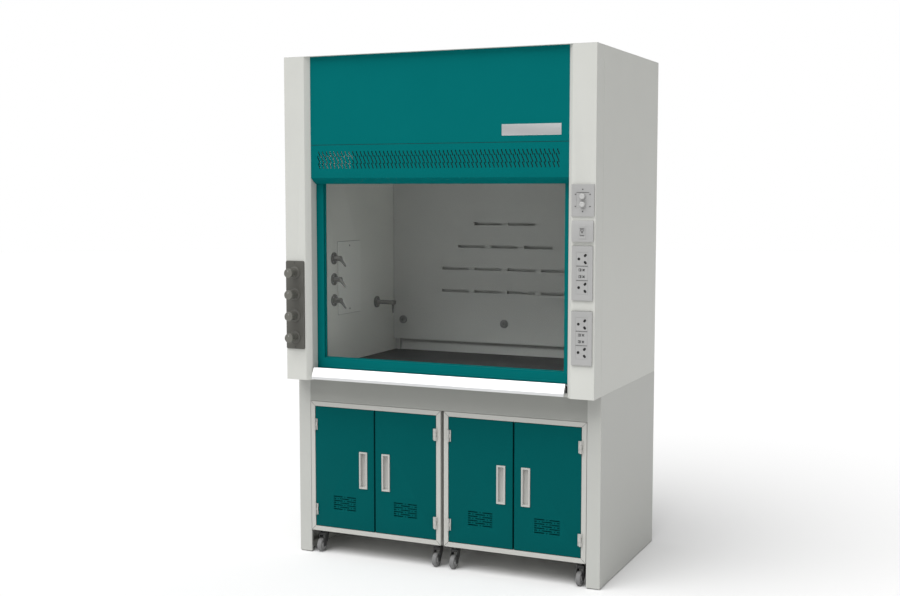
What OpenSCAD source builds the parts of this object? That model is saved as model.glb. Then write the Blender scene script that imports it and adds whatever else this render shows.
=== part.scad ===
// Laboratory fume hood: a glazed upper enclosure with a counterbalanced
// sash, standing on a bench with two roll-out cabinets.
// Millimetres. X across the front, Y towards the back, Z up from the floor.
// Lengths are laid out from the front face of the posts (Y = 0), and every
// sub-part is then moved by place() so that the origin is the middle of the
// footprint at floor level.

/* [Overall] */
// Overall width
body_w = 1500; // [1300:10:1800]
// Depth of the upper enclosure, post front to back panel
hood_d = 955; // [860:5:1150]
// Height of the roof above the floor
body_h = 2335; // [1940:1:2805]
// Height of the bench top that carries the enclosure
bench_h = 848; // [800:1:1010]
// Distance from the post fronts back to the base front
base_setback = 105; // [90:1:130]
// Sheet metal thickness
sheet = 1.5; // [1:0.1:2]

/* [Posts and fascia] */
// Width of the flat front of a post
post_face = 104; // [100:1:130]
// Size of the bevel on a post's inner edge
post_bevel = 21; // [12:1:26]
// Depth of a post's side
post_d = 100; // [80:1:104]
// Height of the upper fascia
fascia_up_h = 401; // [360:1:500]
// Height of the lower fascia
fascia_low_h = 177; // [150:1:240]
// Height of the sloping foot of the lower fascia
fascia_slope_h = 27; // [15:1:40]
// Spacing of the vent slots
vent_pitch = 19.6; // [18:0.1:30]
// Width of a vent slot
vent_w = 4.6; // [3:0.1:6]

/* [Chamber] */
// Thickness of the worktop slab
worktop_t = 30; // [20:1:30]
// Thickness of the chamber lining boards
liner_t = 6; // [4:1:10]
// Space between the back lining and the back panel
rear_void = 66.5; // [50:0.5:90]
// Space between the baffle and the back lining
baffle_gap = 21; // [15:1:50]
// Thickness of the baffle
baffle_t = 4; // [3:1:6]
// Height of the baffle's lower edge above the worktop
baffle_rise = 59; // [30:1:90]
// Length of a baffle slot
baffle_slot = 149; // [120:1:160]
// Outer radius of the exhaust collar
duct_r = 125; // [100:1:125]
// Height of the exhaust collar above the roof
collar_h = 50; // [30:1:60]

/* [Sash] */
// Thickness of the sash frame
sash_t = 24; // [20:1:26]
// Visible and hidden width of a sash stile
stile_w = 60; // [50:1:70]
// Height of the sash's lower rail
rail_h = 48; // [40:1:60]
// Thickness of the sash glass
glass_t = 5; // [4:1:6]
// Travel of the sash
sash_travel = 500; // [300:10:500]
// Radius of the cable centre line on the drums
drum_r = 50; // [40:1:54]
// Radius of the sash cables
cable_r = 1.5; // [1:0.1:2]
// Length of a counterweight
weight_h = 414; // [300:1:450]

/* [Services] */
// Spacing of the valve knobs
knob_pitch = 100; // [80:1:110]
// Radius of a valve knob's head
knob_r = 21.5; // [15:0.5:23]
// Distance that a knob stands out from the post
knob_reach = 68; // [55:1:80]
// Radius of a push button
button_r = 11.5; // [8:0.5:13]

/* [Base] */
// Width of a leg's front
leg_w = 62; // [55:1:80]
// Height of the front apron
apron_h = 115; // [100:1:160]
// Width of the cabinets' front frame members
member_w = 22; // [18:1:28]
// Depth of the cabinets
cabinet_d = 600; // [500:5:640]
// Gap between the two cabinets
cabinet_gap = 16; // [8:1:24]
// Thickness of a door
door_t = 18; // [16:1:22]
// Gap between the two doors of a cabinet
door_gap = 8; // [4:1:12]
// Height of a door handle
handle_h = 175; // [120:1:200]
// Radius of the castor wheels
wheel_r = 32; // [25:1:34]
// Width of the castor wheels
wheel_w = 24; // [18:1:26]
// Height of the cabinet floor above the ground
cabinet_z = 109; // [105:1:125]

/* [Hidden] */
$fn = 48;
fit = 0.05;
eps = 0.2;

half_w = body_w / 2;
inner_w = half_w - post_face - post_bevel;
mid_y = (hood_d - knob_reach) / 2;
roof_z = body_h - sheet;
seam = 1;

// levels
rail_t = 40;
deck_t = 18;
worktop_z = bench_h + deck_t + worktop_t;
sash_z = worktop_z + 4;
fascia_z = body_h - fascia_up_h - fascia_low_h;
fascia_mid = body_h - fascia_up_h;
sash_top = fascia_z + 48;
ceiling_z = body_h - 185;
drum_z = body_h - 60;

// depths
fascia_y = post_bevel;
track_y = 69;
track_leg = 2;
sash_y = track_y + track_leg + 2;
track_back = sash_y + sash_t + 2 + track_leg;
strip_gap = 0.2;
cable_y = sash_y + sash_t + 5.5;
drum_y = cable_y + drum_r;
weight_y = drum_y + drum_r;
liner_y = track_back + 1;
back_liner_y = hood_d - sheet - rear_void - liner_t;
baffle_y = back_liner_y - baffle_gap - baffle_t;
duct_y = hood_d - 255;

// sash
sash_half = inner_w + 25;
glass_half = sash_half - stile_w;
web_x = sash_half + 7;
cable_x = inner_w - 15;
weight_x = half_w - 45;
anchor_z = sash_top - 90;
weight_top = body_h - 145;

// services on the posts
plate_t = 7;
valve_plate_w = 96;
valve_plate_h = 3 * knob_pitch + 110;
valve_plate_z = bench_h + 144.5;
valve_x = -half_w + 50;
valve_z = [for (i = [0:3]) valve_plate_z + 55.5 + i * knob_pitch];
plate_x = half_w - 55;
// plates stacked up the right post, with gaps that follow its height
post_share = (body_h - bench_h) / 1487;
socket_low = bench_h + 147 * post_share + 114;
socket_z = [socket_low + 228 + 46 * post_share, socket_low];
switch_z = socket_z[0] + 158 + 18 * post_share;
control_z = switch_z + 111 + 17 * post_share;
gas_y = 227;
gas_z = [for (i = [0:2]) worktop_z + 308 + 100 * i];
spout_y = 663;
spout_z = worktop_z + 265;
panel_y = [267, 490];
panel_z = [worktop_z + 234, worktop_z + 585];

// base
leg_x = half_w - leg_w;
apron_z = bench_h - apron_h;
cabinet_top = apron_z - 1.2;
cabinet_w = (2 * leg_x - 4 - cabinet_gap) / 2;
cabinet_x = cabinet_gap / 2 + cabinet_w / 2;
cabinet_y = base_setback;
door_w = (cabinet_w - 2 * member_w - 4 - door_gap) / 2;
door_z = cabinet_z + member_w + 2.5;
door_h = cabinet_top - member_w - 2 - door_z;
hinge_r = 5.5;
hinge_h = 55;
hinge_y = cabinet_y - 6.5;
pin_r = 2.5;
hinge_z = [door_z + 79.5, door_z + door_h - 85.5];
castor_x = cabinet_w / 2 - 36;
castor_y = cabinet_y + 52;
castor_trail = 20;
rear_y = cabinet_y + cabinet_d - 60;
axle_r = 4;

panel_white = [0.84, 0.84, 0.81];
teal = [0, 0.41, 0.42];
steel = [0.75, 0.76, 0.77];
dark_grey = [0.41, 0.41, 0.38];
light_grey = [0.7, 0.7, 0.69];
board_grey = [0.62, 0.62, 0.6];

// ---------- shared helpers ----------

module place()
    translate([0, -mid_y, 0]) children();

module box(x, y, z)
    translate([x[0], y[0], z[0]])
        cube([x[1] - x[0], y[1] - y[0], z[1] - z[0]]);

module both_sides() {
    children();
    mirror([1, 0, 0]) children();
}

// rounds run along Y or X
module rod_y(r, y)
    translate([0, y[1], 0]) rotate([90, 0, 0]) cylinder(r = r, h = y[1] - y[0]);

module rod_x(r, x)
    translate([x[0], 0, 0]) rotate([0, 90, 0]) cylinder(r = r, h = x[1] - x[0]);

module rod_z(r, z)
    translate([0, 0, z[0]]) cylinder(r = r, h = z[1] - z[0]);

// a flat outline in X and Z, given thickness along Y
module face_xz(y)
    translate([0, y[1], 0]) rotate([90, 0, 0]) linear_extrude(y[1] - y[0]) children();

// an outline in Y and Z, given length along X
module run_x(x)
    translate([x[0], 0, 0]) rotate([90, 0, 90]) linear_extrude(x[1] - x[0]) children();

// folded sheet: a path given thickness on its left-hand side
function unit(v) = v / norm(v);
function left_of(v) = [-v[1], v[0]];
function way(p, i) = unit(p[i + 1] - p[i]);
function corner(p, i, t) =
    let (a = left_of(way(p, max(i - 1, 0))),
         b = left_of(way(p, min(i, len(p) - 2))),
         n = unit(a + b))
    p[i] + n * t / (n * a);
function folded(p, t) =
    concat(p, [for (i = [len(p) - 1:-1:0]) corner(p, i, t)]);

// ---------- upper enclosure ----------

module side_panels()
    color(panel_white) place() both_sides()
        translate([0, 0, bench_h]) linear_extrude(roof_z - bench_h)
            polygon(folded([
                [half_w - 16, post_d + seam],
                [half_w, post_d + seam],
                [half_w, hood_d - sheet]], sheet));

module post_shell()
    translate([0, 0, bench_h]) linear_extrude(roof_z - bench_h)
        polygon(folded([
            [-half_w, post_d],
            [-half_w, 0],
            [-half_w + post_face, 0],
            [-inner_w, post_bevel],
            [-inner_w, track_y]], sheet));

module left_post()
    color(panel_white) place() difference() {
        post_shell();
        for (z = valve_z)
            translate([valve_x, 0, z]) rod_y(9.5, [-1, sheet + 1]);
    }

module back_box(z, w, h, y)
    box([plate_x - w / 2, plate_x + w / 2], y, [z - h / 2, z + h / 2]);

module right_post()
    color(panel_white) place() difference() {
        mirror([1, 0, 0]) post_shell();
        back_box(control_z, 61, 91, [-1, sheet + 1]);
        back_box(switch_z, 61, 61, [-1, sheet + 1]);
        for (z = socket_z)
            back_box(z, 61, 181, [-1, sheet + 1]);
    }

module slanted(x, z, lean)
    polygon([
        [x - vent_w / 2, z[1]],
        [x + vent_w / 2, z[1]],
        [x + lean + vent_w / 2, z[0]],
        [x + lean - vent_w / 2, z[0]]]);

// three interleaved rows of slanted slots
module vent_field() {
    count = floor((2 * inner_w - 70) / vent_pitch);
    start = -count * vent_pitch / 2;
    top = fascia_mid - 31;
    for (i = [0:count - 1]) {
        x = start + i * vent_pitch;
        slanted(x + 5, [top - 22, top], 6.5);
        slanted(x, [top - 55, top - 20], 12);
        slanted(x + 4, [top - 76, top - 53.5], 6.5);
    }
}

module upper_fascia()
    color(teal) place() run_x([-inner_w, inner_w])
        polygon(folded([
            [fascia_y + 19, roof_z],
            [fascia_y, roof_z],
            [fascia_y, fascia_mid + seam],
            [fascia_y + 15, fascia_mid + seam]], sheet));

module lower_fascia()
    color(teal) place() difference() {
        run_x([-inner_w, inner_w])
            polygon(folded([
                [fascia_y + 15, fascia_mid - seam],
                [fascia_y, fascia_mid - seam],
                [fascia_y, fascia_z + fascia_slope_h],
                [fascia_y + 40, fascia_z],
                [fascia_y + 40, fascia_z + 14]], sheet));
        face_xz([fascia_y - 1, fascia_y + sheet + 1]) vent_field();
    }

module badge_plate()
    color(light_grey) place()
        box([inner_w - 305, inner_w - 35], [fascia_y - 1.2, fascia_y],
            [fascia_mid + 28, fascia_mid + 76]);

module roof_panel()
    color(panel_white) place() difference() {
        box([-half_w, half_w], [0, hood_d], [roof_z, body_h]);
        translate([0, duct_y, 0]) rod_z(duct_r + 0.5, [roof_z - 1, body_h + 1]);
    }

module exhaust_collar()
    color(steel) place() translate([0, duct_y, 0]) difference() {
        union() {
            rod_z(duct_r, [ceiling_z + liner_t, body_h + collar_h]);
            rod_z(duct_r + 22, [body_h, body_h + 3]);
        }
        rod_z(duct_r - 2, [ceiling_z, body_h + collar_h + 1]);
    }

module back_panel()
    color(panel_white) place()
        box([-half_w, half_w], [hood_d - sheet, hood_d], [bench_h, roof_z]);

// ---------- chamber ----------

module side_liner(x)
    box(x, [liner_y, back_liner_y], [bench_h + deck_t, ceiling_z]);

module side_liners()
    color(board_grey) place() difference() {
        both_sides() side_liner([inner_w, inner_w + liner_t]);
        both_sides()
            box([inner_w - 1, inner_w + liner_t + 1],
                [panel_y[0] + 15, panel_y[1] - 15],
                [panel_z[0] + 40, panel_z[1] - 40]);
        for (z = gas_z)
            translate([-inner_w, gas_y, z]) rod_x(8.5, [-liner_t - 1, 1]);
        translate([-inner_w, spout_y, spout_z]) rod_x(8.5, [-liner_t - 1, 1]);
    }

module back_liner()
    color(board_grey) place()
        box([-inner_w - liner_t, inner_w + liner_t],
            [back_liner_y, back_liner_y + liner_t],
            [bench_h + deck_t, ceiling_z]);

lamp_x = inner_w - 275;
lamp_y = [drum_y + drum_r + 30, drum_y + drum_r + 190];

module ceiling_liner()
    color(board_grey) place() difference() {
        box([-inner_w - liner_t, inner_w + liner_t],
            [cable_y + 9.5, back_liner_y + liner_t],
            [ceiling_z, ceiling_z + liner_t]);
        box([-lamp_x, lamp_x], lamp_y, [ceiling_z - 1, ceiling_z + liner_t + 1]);
        translate([0, duct_y, 0])
            rod_z(duct_r - 2, [ceiling_z - 1, ceiling_z + liner_t + 1]);
    }

module slot_row(z, count)
    for (i = [0:count - 1])
        translate([(i - (count - 1) / 2) * (baffle_slot + 31), z])
            square([baffle_slot, 15], center = true);

// heights on the baffle follow the height of the chamber
baffle_z = worktop_z + baffle_rise;
baffle_h = 830 * (ceiling_z - worktop_z) / 1254;
baffle_top = baffle_z + baffle_h;
baffle_split = baffle_z + baffle_h * 0.2313;
knob_row_z = baffle_z + baffle_h * 0.1217;
slot_row_z = [for (i = [0:3]) baffle_z + baffle_h * (0.3133 + 0.138 * i)];
fold_y = duct_y - duct_r - 30;

// lower, main and sloping top panel of the rear baffle
module baffle_panels()
    color(board_grey) place() {
        box([-inner_w + 1, inner_w - 1], [baffle_y, baffle_y + baffle_t],
            [baffle_z, baffle_split - 0.5]);
        for (side = [-1, 1])
            box([side * (inner_w - 30) - 4, side * (inner_w - 30) + 4],
                [baffle_y + baffle_t, back_liner_y],
                [worktop_z, baffle_z + baffle_h * 0.18]);
        difference() {
            box([-inner_w + 1, inner_w - 1], [baffle_y, baffle_y + baffle_t],
                [baffle_split + 0.5, baffle_top]);
            face_xz([baffle_y - 1, baffle_y + baffle_t + 1]) {
                slot_row(slot_row_z[0], 4);
                slot_row(slot_row_z[1], 4);
                slot_row(slot_row_z[2], 3);
                slot_row(slot_row_z[3], 2);
            }
        }
        run_x([-inner_w + 1, inner_w - 1])
            polygon([
                [baffle_y + baffle_t, baffle_top + 0.5],
                [baffle_y, baffle_top + 0.5],
                [fold_y, ceiling_z - 25],
                [fold_y + baffle_t, ceiling_z - 25]]);
    }

module worktop()
    color([0.2, 0.2, 0.2]) place()
        box([-inner_w, inner_w], [30, back_liner_y],
            [bench_h + deck_t, worktop_z]);

module airfoil_sill()
    color([0.88, 0.88, 0.88]) place() {
        foil_x = inner_w - 9;
        run_x([-foil_x, foil_x])
            polygon(folded([
                [62, worktop_z + sheet],
                [36, worktop_z + sheet],
                [24, worktop_z + 11],
                [16, worktop_z + 11],
                [-5, worktop_z - 29],
                [-5, worktop_z - 41],
                [8, worktop_z - 41]], sheet));
        both_sides() run_x([foil_x - sheet, foil_x])
            polygon([
                [-5, worktop_z - 41],
                [-5, worktop_z - 29],
                [16, worktop_z + 11],
                [24, worktop_z + 11],
                [24, worktop_z - 20],
                [8, worktop_z - 41]]);
    }

// tracks that guide the sash edges, each a web between two guide strips
module sash_tracks()
    color(steel) place() both_sides() {
        track_z = [bench_h + deck_t, roof_z - 15];
        box([web_x, web_x + track_leg], [track_y, track_back], track_z);
        for (y = [track_y, track_back - track_leg])
            box([inner_w + sheet, web_x - strip_gap], [y, y + track_leg], track_z);
    }

module lamp_housing()
    color(panel_white) place() difference() {
        box([-lamp_x - 12, lamp_x + 12], [lamp_y[0] - 12, lamp_y[1] + 12],
            [ceiling_z + liner_t, ceiling_z + liner_t + 70]);
        box([-lamp_x - 10, lamp_x + 10], [lamp_y[0] - 10, lamp_y[1] + 10],
            [ceiling_z, ceiling_z + liner_t + 68]);
    }

module lamp_window()
    color([0.85, 0.9, 0.92, 0.5]) place()
        box([-lamp_x + 0.5, lamp_x - 0.5],
            [lamp_y[0] + 0.5, lamp_y[1] - 0.5],
            [ceiling_z + 0.5, ceiling_z + liner_t - 0.5]);

// ---------- services ----------

module valve_plate()
    color(dark_grey) place() difference() {
        box([valve_x - valve_plate_w / 2, valve_x + valve_plate_w / 2],
            [-plate_t, 0],
            [valve_plate_z, valve_plate_z + valve_plate_h]);
        for (z = valve_z)
            translate([valve_x, 0, z]) rod_y(9.5, [-plate_t - 1, 1]);
    }

spindle_r = 4;
spindle_y = -plate_t - 38;
pipe_x = -inner_w - 30;

// a bent pipe through square corners
module pipe(points, r)
    for (i = [0:len(points) - 2]) {
        a = points[i];
        b = points[i + 1];
        lo = [min(a[0], b[0]), min(a[1], b[1]), min(a[2], b[2])];
        d = b - a;
        translate(a) sphere(r = r, $fn = 24);
        if (abs(d[0]) > 0)
            translate([0, a[1], a[2]]) rod_x(r, [lo[0], lo[0] + abs(d[0])]);
        if (abs(d[1]) > 0)
            translate([a[0], 0, a[2]]) rod_y(r, [lo[1], lo[1] + abs(d[1])]);
        if (abs(d[2]) > 0)
            translate([a[0], a[1], 0]) rod_z(r, [lo[2], lo[2] + abs(d[2])]);
    }

module service_valve(z)
    translate([valve_x, 0, z]) {
        rod_y(9, [-plate_t, sheet]);
        rod_y(14, [sheet, 58]);
        rod_y(spindle_r, [spindle_y, -plate_t]);
        rotate([90, 0, 0]) rotate_extrude()
            polygon([
                [spindle_r - 1, plate_t],
                [28.5, plate_t],
                [28.5, plate_t + 3],
                [22, plate_t + 6],
                [spindle_r - 1, plate_t + 6]]);
    }

// valve bodies behind the post, with the pipes to the outlets
module service_valves()
    color(dark_grey) place() {
        for (z = valve_z)
            service_valve(z);
        for (i = [0:2])
            pipe([
                [valve_x, 55, valve_z[i + 1]],
                [valve_x, 112, valve_z[i + 1]],
                [pipe_x, 112, valve_z[i + 1]],
                [pipe_x, 112, gas_z[i]],
                [pipe_x, gas_y, gas_z[i]],
                [-inner_w - liner_t - 1, gas_y, gas_z[i]]], 5);
        pipe([
            [valve_x, 55, valve_z[0]],
            [valve_x, 112, valve_z[0]],
            [pipe_x - 13, 112, valve_z[0]],
            [pipe_x - 13, 112, spout_z],
            [pipe_x - 13, spout_y, spout_z],
            [-inner_w - liner_t - 1, spout_y, spout_z]], 5);
    }

module gas_outlet(z)
    translate([-inner_w, gas_y, z]) {
        rod_x(8, [-liner_t - 1, 0]);
        rod_x(29, [0, 6]);
        rod_x(11.5, [6, 40]);
        translate([37, 0, 0]) rotate([0, 140, 0]) cylinder(r1 = 8.5, r2 = 4.5, h = 48);
    }

module service_outlets()
    color(light_grey) place() {
        for (z = gas_z)
            gas_outlet(z);
        translate([-inner_w, spout_y, spout_z]) {
            rod_x(8, [-liner_t - 1, 0]);
            rod_x(29, [0, 8]);
            rod_x(11, [8, 108]);
            translate([92, 0, -54]) cylinder(r1 = 5, r2 = 9, h = 54);
        }
    }

module control_outline(w, h, z)
    translate([plate_x, z]) square([w, h], center = true);

// push button plate above, lamp switch plate below
module switch_plates()
    color(light_grey) place() {
        difference() {
            union() {
                face_xz([-plate_t, 0]) control_outline(99, 134, control_z);
                back_box(control_z, 60, 90, [0, 40]);
            }
            face_xz([-plate_t - 1, -plate_t + 1.5])
                control_outline(56, 68, control_z);
            for (side = [-1, 1])
                translate([plate_x, 0, control_z + side * 16.5])
                    rod_y(button_r + 0.3, [-plate_t, 20]);
        }
        difference() {
            union() {
                run_x([plate_x - 47, plate_x + 47])
                    polygon([
                        [0, switch_z - 44],
                        [-10, switch_z - 44],
                        [-10, switch_z + 28],
                        [-4, switch_z + 44],
                        [0, switch_z + 44]]);
                back_box(switch_z, 60, 60, [0, 40]);
                face_xz([-11.5, -10]) control_outline(30, 55, switch_z - 4);
            }
            back_box(switch_z - 4, 20, 33, [-20, 12]);
        }
    }

module pin_holes(z) {
    translate([plate_x - 14, z]) circle(r = 2.6);
    for (side = [-1, 1])
        translate([plate_x + 14, z + side * 15])
            rotate(-side * 40) square([3, 9], center = true);
}

module socket_plate(z)
    difference() {
        union() {
            back_box(z, 91, 228, [-8, 0]);
            back_box(z, 60, 180, [0, 40]);
        }
        face_xz([-9, 6]) {
            pin_holes(z + 60);
            pin_holes(z - 60);
            for (side = [-1, 1])
                translate([plate_x, z + side * 14])
                    for (turn = [-1, 1])
                        translate([turn * 7, 0]) square([2.6, 8], center = true);
        }
        for (side = [-1, 0, 1])
            difference() {
                back_box(z + side * 60, 52, 56, [-9, -7]);
                back_box(z + side * 60, 50.6, 54.6, [-9.5, -6.5]);
            }
    }

module socket_plates()
    color(light_grey) place()
        for (z = socket_z)
            socket_plate(z);

module access_panels()
    color(panel_white) place() both_sides()
        box([inner_w - 3, inner_w], panel_y, panel_z);

module screw_y(x, y, z, r)
    translate([x, 0, z]) rod_y(r, [y - 1.6, y]);

// screw heads and the round knobs that hold the lower baffle
module fasteners()
    color(steel) place() {
        for (z = [valve_plate_z + 8, valve_plate_z + valve_plate_h - 8])
            screw_y(valve_x, -plate_t, z, 2.5);
        for (side = [-1, 1]) {
            screw_y(plate_x, -plate_t, control_z + side * 46, 2.5);
            for (x = [plate_x - 32, plate_x + 32])
                screw_y(x, -plate_t, control_z + side * 25, 2);
            for (z = [panel_z[0] + 22, panel_z[1] - 21])
                translate([side * (inner_w - 4), (panel_y[0] + panel_y[1]) / 2, z])
                    rod_x(4, [-1, 1]);
        }
        for (x = [-inner_w + 58, 0, inner_w - 58])
            translate([x, 0, knob_row_z])
                rod_y(21, [baffle_y - 12, baffle_y]);
    }

// ---------- base ----------

module leg_shell()
    translate([half_w, 0, 0]) {
        in = -leg_w;
        low = 4;
        translate([0, 0, low]) linear_extrude(bench_h - low)
            polygon(folded([
                [in, base_setback],
                [0, base_setback],
                [0, hood_d],
                [in, hood_d]], sheet));
        for (y = [base_setback + sheet, hood_d - sheet - 10.5])
            box([in, in + sheet], [y - 0.1, y + 10.6], [low, bench_h - rail_t]);
        translate([0, base_setback + sheet, 0]) rotate([90, 0, 0])
            mirror([0, 0, 1]) linear_extrude(hood_d - base_setback - 2 * sheet)
                polygon(folded([
                    [-sheet, low],
                    [-35, low],
                    [-35, low + 30]], -sheet));
    }

module left_leg()
    color(panel_white) place() mirror([1, 0, 0]) leg_cut();

module right_leg()
    color(panel_white) place() leg_cut();

foot_x = half_w - 18;
foot_y = [base_setback + 60, hood_d - 60];

module leg_cut()
    difference() {
        leg_shell();
        for (y = foot_y)
            translate([foot_x, y, 0]) rod_z(5.5, [3, 7]);
    }

module front_apron()
    color(panel_white) place() run_x([-leg_x, leg_x])
        polygon(folded([
            [base_setback, bench_h],
            [base_setback, apron_z],
            [base_setback + 15, apron_z]], sheet));

module bench_frame()
    color(panel_white) place() {
        front = base_setback + sheet;
        back = hood_d - sheet;
        difference() {
            box([-half_w + sheet, half_w - sheet], [front, back],
                [bench_h - rail_t, bench_h]);
            box([-half_w + sheet + 40, half_w - sheet - 40],
                [front + 40, back - 40],
                [bench_h - rail_t - 1, bench_h + 1]);
        }
        box([-inner_w + 5, inner_w - 5], [34, 74], [bench_h, bench_h + deck_t]);
        for (y = [front + 15, (front + back) / 2 - 20, back_liner_y - 30])
            box([-half_w + 20, half_w - 20], [y, y + 40],
                [bench_h - 0.1, bench_h + deck_t]);
        for (x = [-inner_w + 60, inner_w - 100])
            box([x, x + 40], [74, front + 20], [bench_h, bench_h + deck_t]);
        box([-leg_x, leg_x], [back - 13, back], [120, 180]);
    }

module levelling_feet()
    color([0.25, 0.25, 0.25]) place() both_sides()
        for (y = foot_y)
            translate([foot_x, y, 0]) {
                rod_z(14, [0, 4]);
                rod_z(5, [4, 26]);
            }

// ---------- sash and its balance ----------

module shaft_bearings()
    color(steel) place() both_sides() difference() {
        box([half_w - 16, half_w - sheet], [drum_y - 25, drum_y + 25],
            [drum_z - 25, drum_z + 25]);
        translate([0, drum_y, drum_z]) rod_x(8 + fit, [half_w - 17, half_w]);
    }

module sash_frame()
    color(teal) place() difference() {
        union() {
            box([-sash_half, sash_half], [sash_y, sash_y + sash_t],
                [sash_z, sash_top]);
            both_sides() {
                box([cable_x - 10, cable_x + 10],
                    [sash_y + sash_t, cable_y + 5.5],
                    [anchor_z - 30, anchor_z]);
                for (z = [sash_z + 30, sash_top - 60])
                    box([sash_half - 8, sash_half + 5],
                        [sash_y - 1.6, sash_y + sash_t + 1.6], [z, z + 30]);
            }
        }
        box([-glass_half, glass_half], [sash_y - 1, sash_y + sash_t + 1],
            [sash_z + rail_h, sash_top - 40]);
        box([-glass_half - 8, glass_half + 8],
            [glass_y - eps, glass_y + glass_t + eps],
            [sash_z + rail_h - 8, sash_top - 32]);
    }

glass_y = sash_y + 14;

module sash_glass()
    color([0.75, 0.82, 0.82, 0.35]) place()
        box([-glass_half - 7.5, glass_half + 7.5],
            [glass_y, glass_y + glass_t],
            [sash_z + rail_h - 7.5, sash_top - 32.5]);

module counterweights()
    color([0.3, 0.3, 0.32]) place() both_sides()
        box([weight_x - 25, weight_x + 25], [weight_y - 40, weight_y + 40],
            [weight_top - weight_h, weight_top]);

module sash_cables()
    color(steel) place()
        for (side = [-1, 1])
            translate([side * cable_x, cable_y, 0])
                rod_z(cable_r, [anchor_z, drum_z]);

module weight_cables()
    color(steel) place()
        for (side = [-1, 1])
            translate([side * weight_x, weight_y, 0])
                rod_z(cable_r, [weight_top, drum_z]);

// grooved drum for one cable
module drum()
    rotate([0, 90, 0]) rotate_extrude()
        polygon([
            [7, -8],
            [drum_r + 3, -8],
            [drum_r + 3, -5],
            [drum_r - cable_r - 0.3, -3],
            [drum_r - cable_r - 0.3, 3],
            [drum_r + 3, 5],
            [drum_r + 3, 8],
            [7, 8]]);

module drum_shaft()
    color(steel) place() translate([0, drum_y, drum_z]) {
        rod_x(8, [-half_w + 6, half_w - 6]);
        for (x = [-weight_x, -cable_x, cable_x, weight_x])
            translate([x, 0, 0]) drum();
    }

// ---------- controls ----------

module valve_knob(i)
    color(dark_grey) place() translate([valve_x, 0, valve_z[i]])
        rotate([90, 0, 0]) rotate_extrude()
            polygon([
                [spindle_r + fit, plate_t + 6.5],
                [knob_r - 4, plate_t + 6.5],
                [knob_r - 4, knob_reach - 16],
                [knob_r - 1.5, knob_reach - 16],
                [knob_r, knob_reach - 14.5],
                [knob_r, knob_reach - 2],
                [knob_r - 2, knob_reach],
                [0, knob_reach],
                [0, -spindle_y + 0.3],
                [spindle_r + fit, -spindle_y + 0.3]]);

module valve_knob_1() valve_knob(0);
module valve_knob_2() valve_knob(1);
module valve_knob_3() valve_knob(2);
module valve_knob_4() valve_knob(3);

module push_button(z)
    color(light_grey) place() translate([plate_x, 0, z])
        rod_y(button_r, [-plate_t - 13, 5]);

module start_button() push_button(control_z + 16.5);
module stop_button() push_button(control_z - 16.5);

module light_rocker()
    color(light_grey) place()
        translate([plate_x, -7, switch_z - 4]) rotate([8, 0, 0])
            box([-9.5, 9.5], [-5, 4], [-15, 15]);

// ---------- cabinets ----------

module hinge_side(side)
    // knuckles and pin fixed to the cabinet at a door's outer edge
    for (z = hinge_z)
        translate([side * (cabinet_w / 2 - member_w - 2), hinge_y, z - hinge_h / 2]) {
            rod_z(pin_r, [0, hinge_h]);
            for (low = [0, hinge_h - 18]) {
                rod_z(hinge_r, [low, low + 18]);
                box([min(side, side * 8), max(side, side * 8)], [1, 7],
                    [low, low + 18]);
            }
        }

module castor_cheek(x)
    run_x(x) polygon([
        [-16, 46],
        [18, 46],
        [10, 22],
        [-castor_trail + 8, -8],
        [-castor_trail - 8, -8],
        [-castor_trail - 9, 10]]);

// fixed rear castor housing under the cabinet floor
module rear_castor() {
    translate([0, rear_y + castor_trail, wheel_r]) {
        for (side = [-1, 1])
            castor_cheek(side > 0 ? [wheel_w / 2 + 2, wheel_w / 2 + 5]
                : [-wheel_w / 2 - 5, -wheel_w / 2 - 2]);
        translate([0, -castor_trail, 0])
            rod_x(axle_r, [-wheel_w / 2 - 5, wheel_w / 2 + 5]);
        box([-wheel_w / 2 - 5, wheel_w / 2 + 5], [-16, 18],
            [45, cabinet_z - wheel_r]);
    }
}

module cabinet_body() {
    cw = cabinet_w / 2;
    yb = cabinet_y + cabinet_d;
    difference() {
        box([-cw, cw], [cabinet_y, yb], [cabinet_z, cabinet_top]);
        box([-cw + sheet, cw - sheet], [cabinet_y - 1, yb - sheet],
            [cabinet_z + sheet, cabinet_top - sheet]);
    }
    difference() {
        box([-cw + 0.5, cw - 0.5], [cabinet_y, cabinet_y + door_t + 2],
            [cabinet_z + 0.5, cabinet_top - 0.5]);
        box([-cw + member_w, cw - member_w], [cabinet_y - 1, cabinet_y + 40],
            [cabinet_z + member_w, cabinet_top - member_w]);
    }
    // shelf
    box([-cw + 1, cw - 1], [cabinet_y + 60, yb - 1],
        [(cabinet_z + cabinet_top) / 2, (cabinet_z + cabinet_top) / 2 + sheet]);
    box([-cw + 1, cw - 1], [cabinet_y + 60, cabinet_y + 60 + sheet],
        [(cabinet_z + cabinet_top) / 2 - 20, (cabinet_z + cabinet_top) / 2]);
    for (side = [-1, 1]) {
        hinge_side(side);
        translate([side * castor_x, 0, 0]) {
            rear_castor();
            translate([0, castor_y, 0]) difference() {
                union() {
                    rod_z(14, [cabinet_z - 20, cabinet_z]);
                    box([-30, 30], [-30, 30], [cabinet_z - 4, cabinet_z]);
                }
                rod_z(6 + fit, [cabinet_z - 21, cabinet_z - 5]);
            }
        }
    }
}

module left_cabinet()
    color(panel_white) place() translate([-cabinet_x, 0, 0]) cabinet_body();

module right_cabinet()
    color(panel_white) place() translate([cabinet_x, 0, 0]) cabinet_body();

// door louvres: rows of long slots and dots
module slot_run(w, row, span) {
    h = 4.6;
    translate([w * (span[0] - 0.5), -row * 10 - h / 2])
        square([w * (span[1] - span[0]), h]);
}

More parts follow.
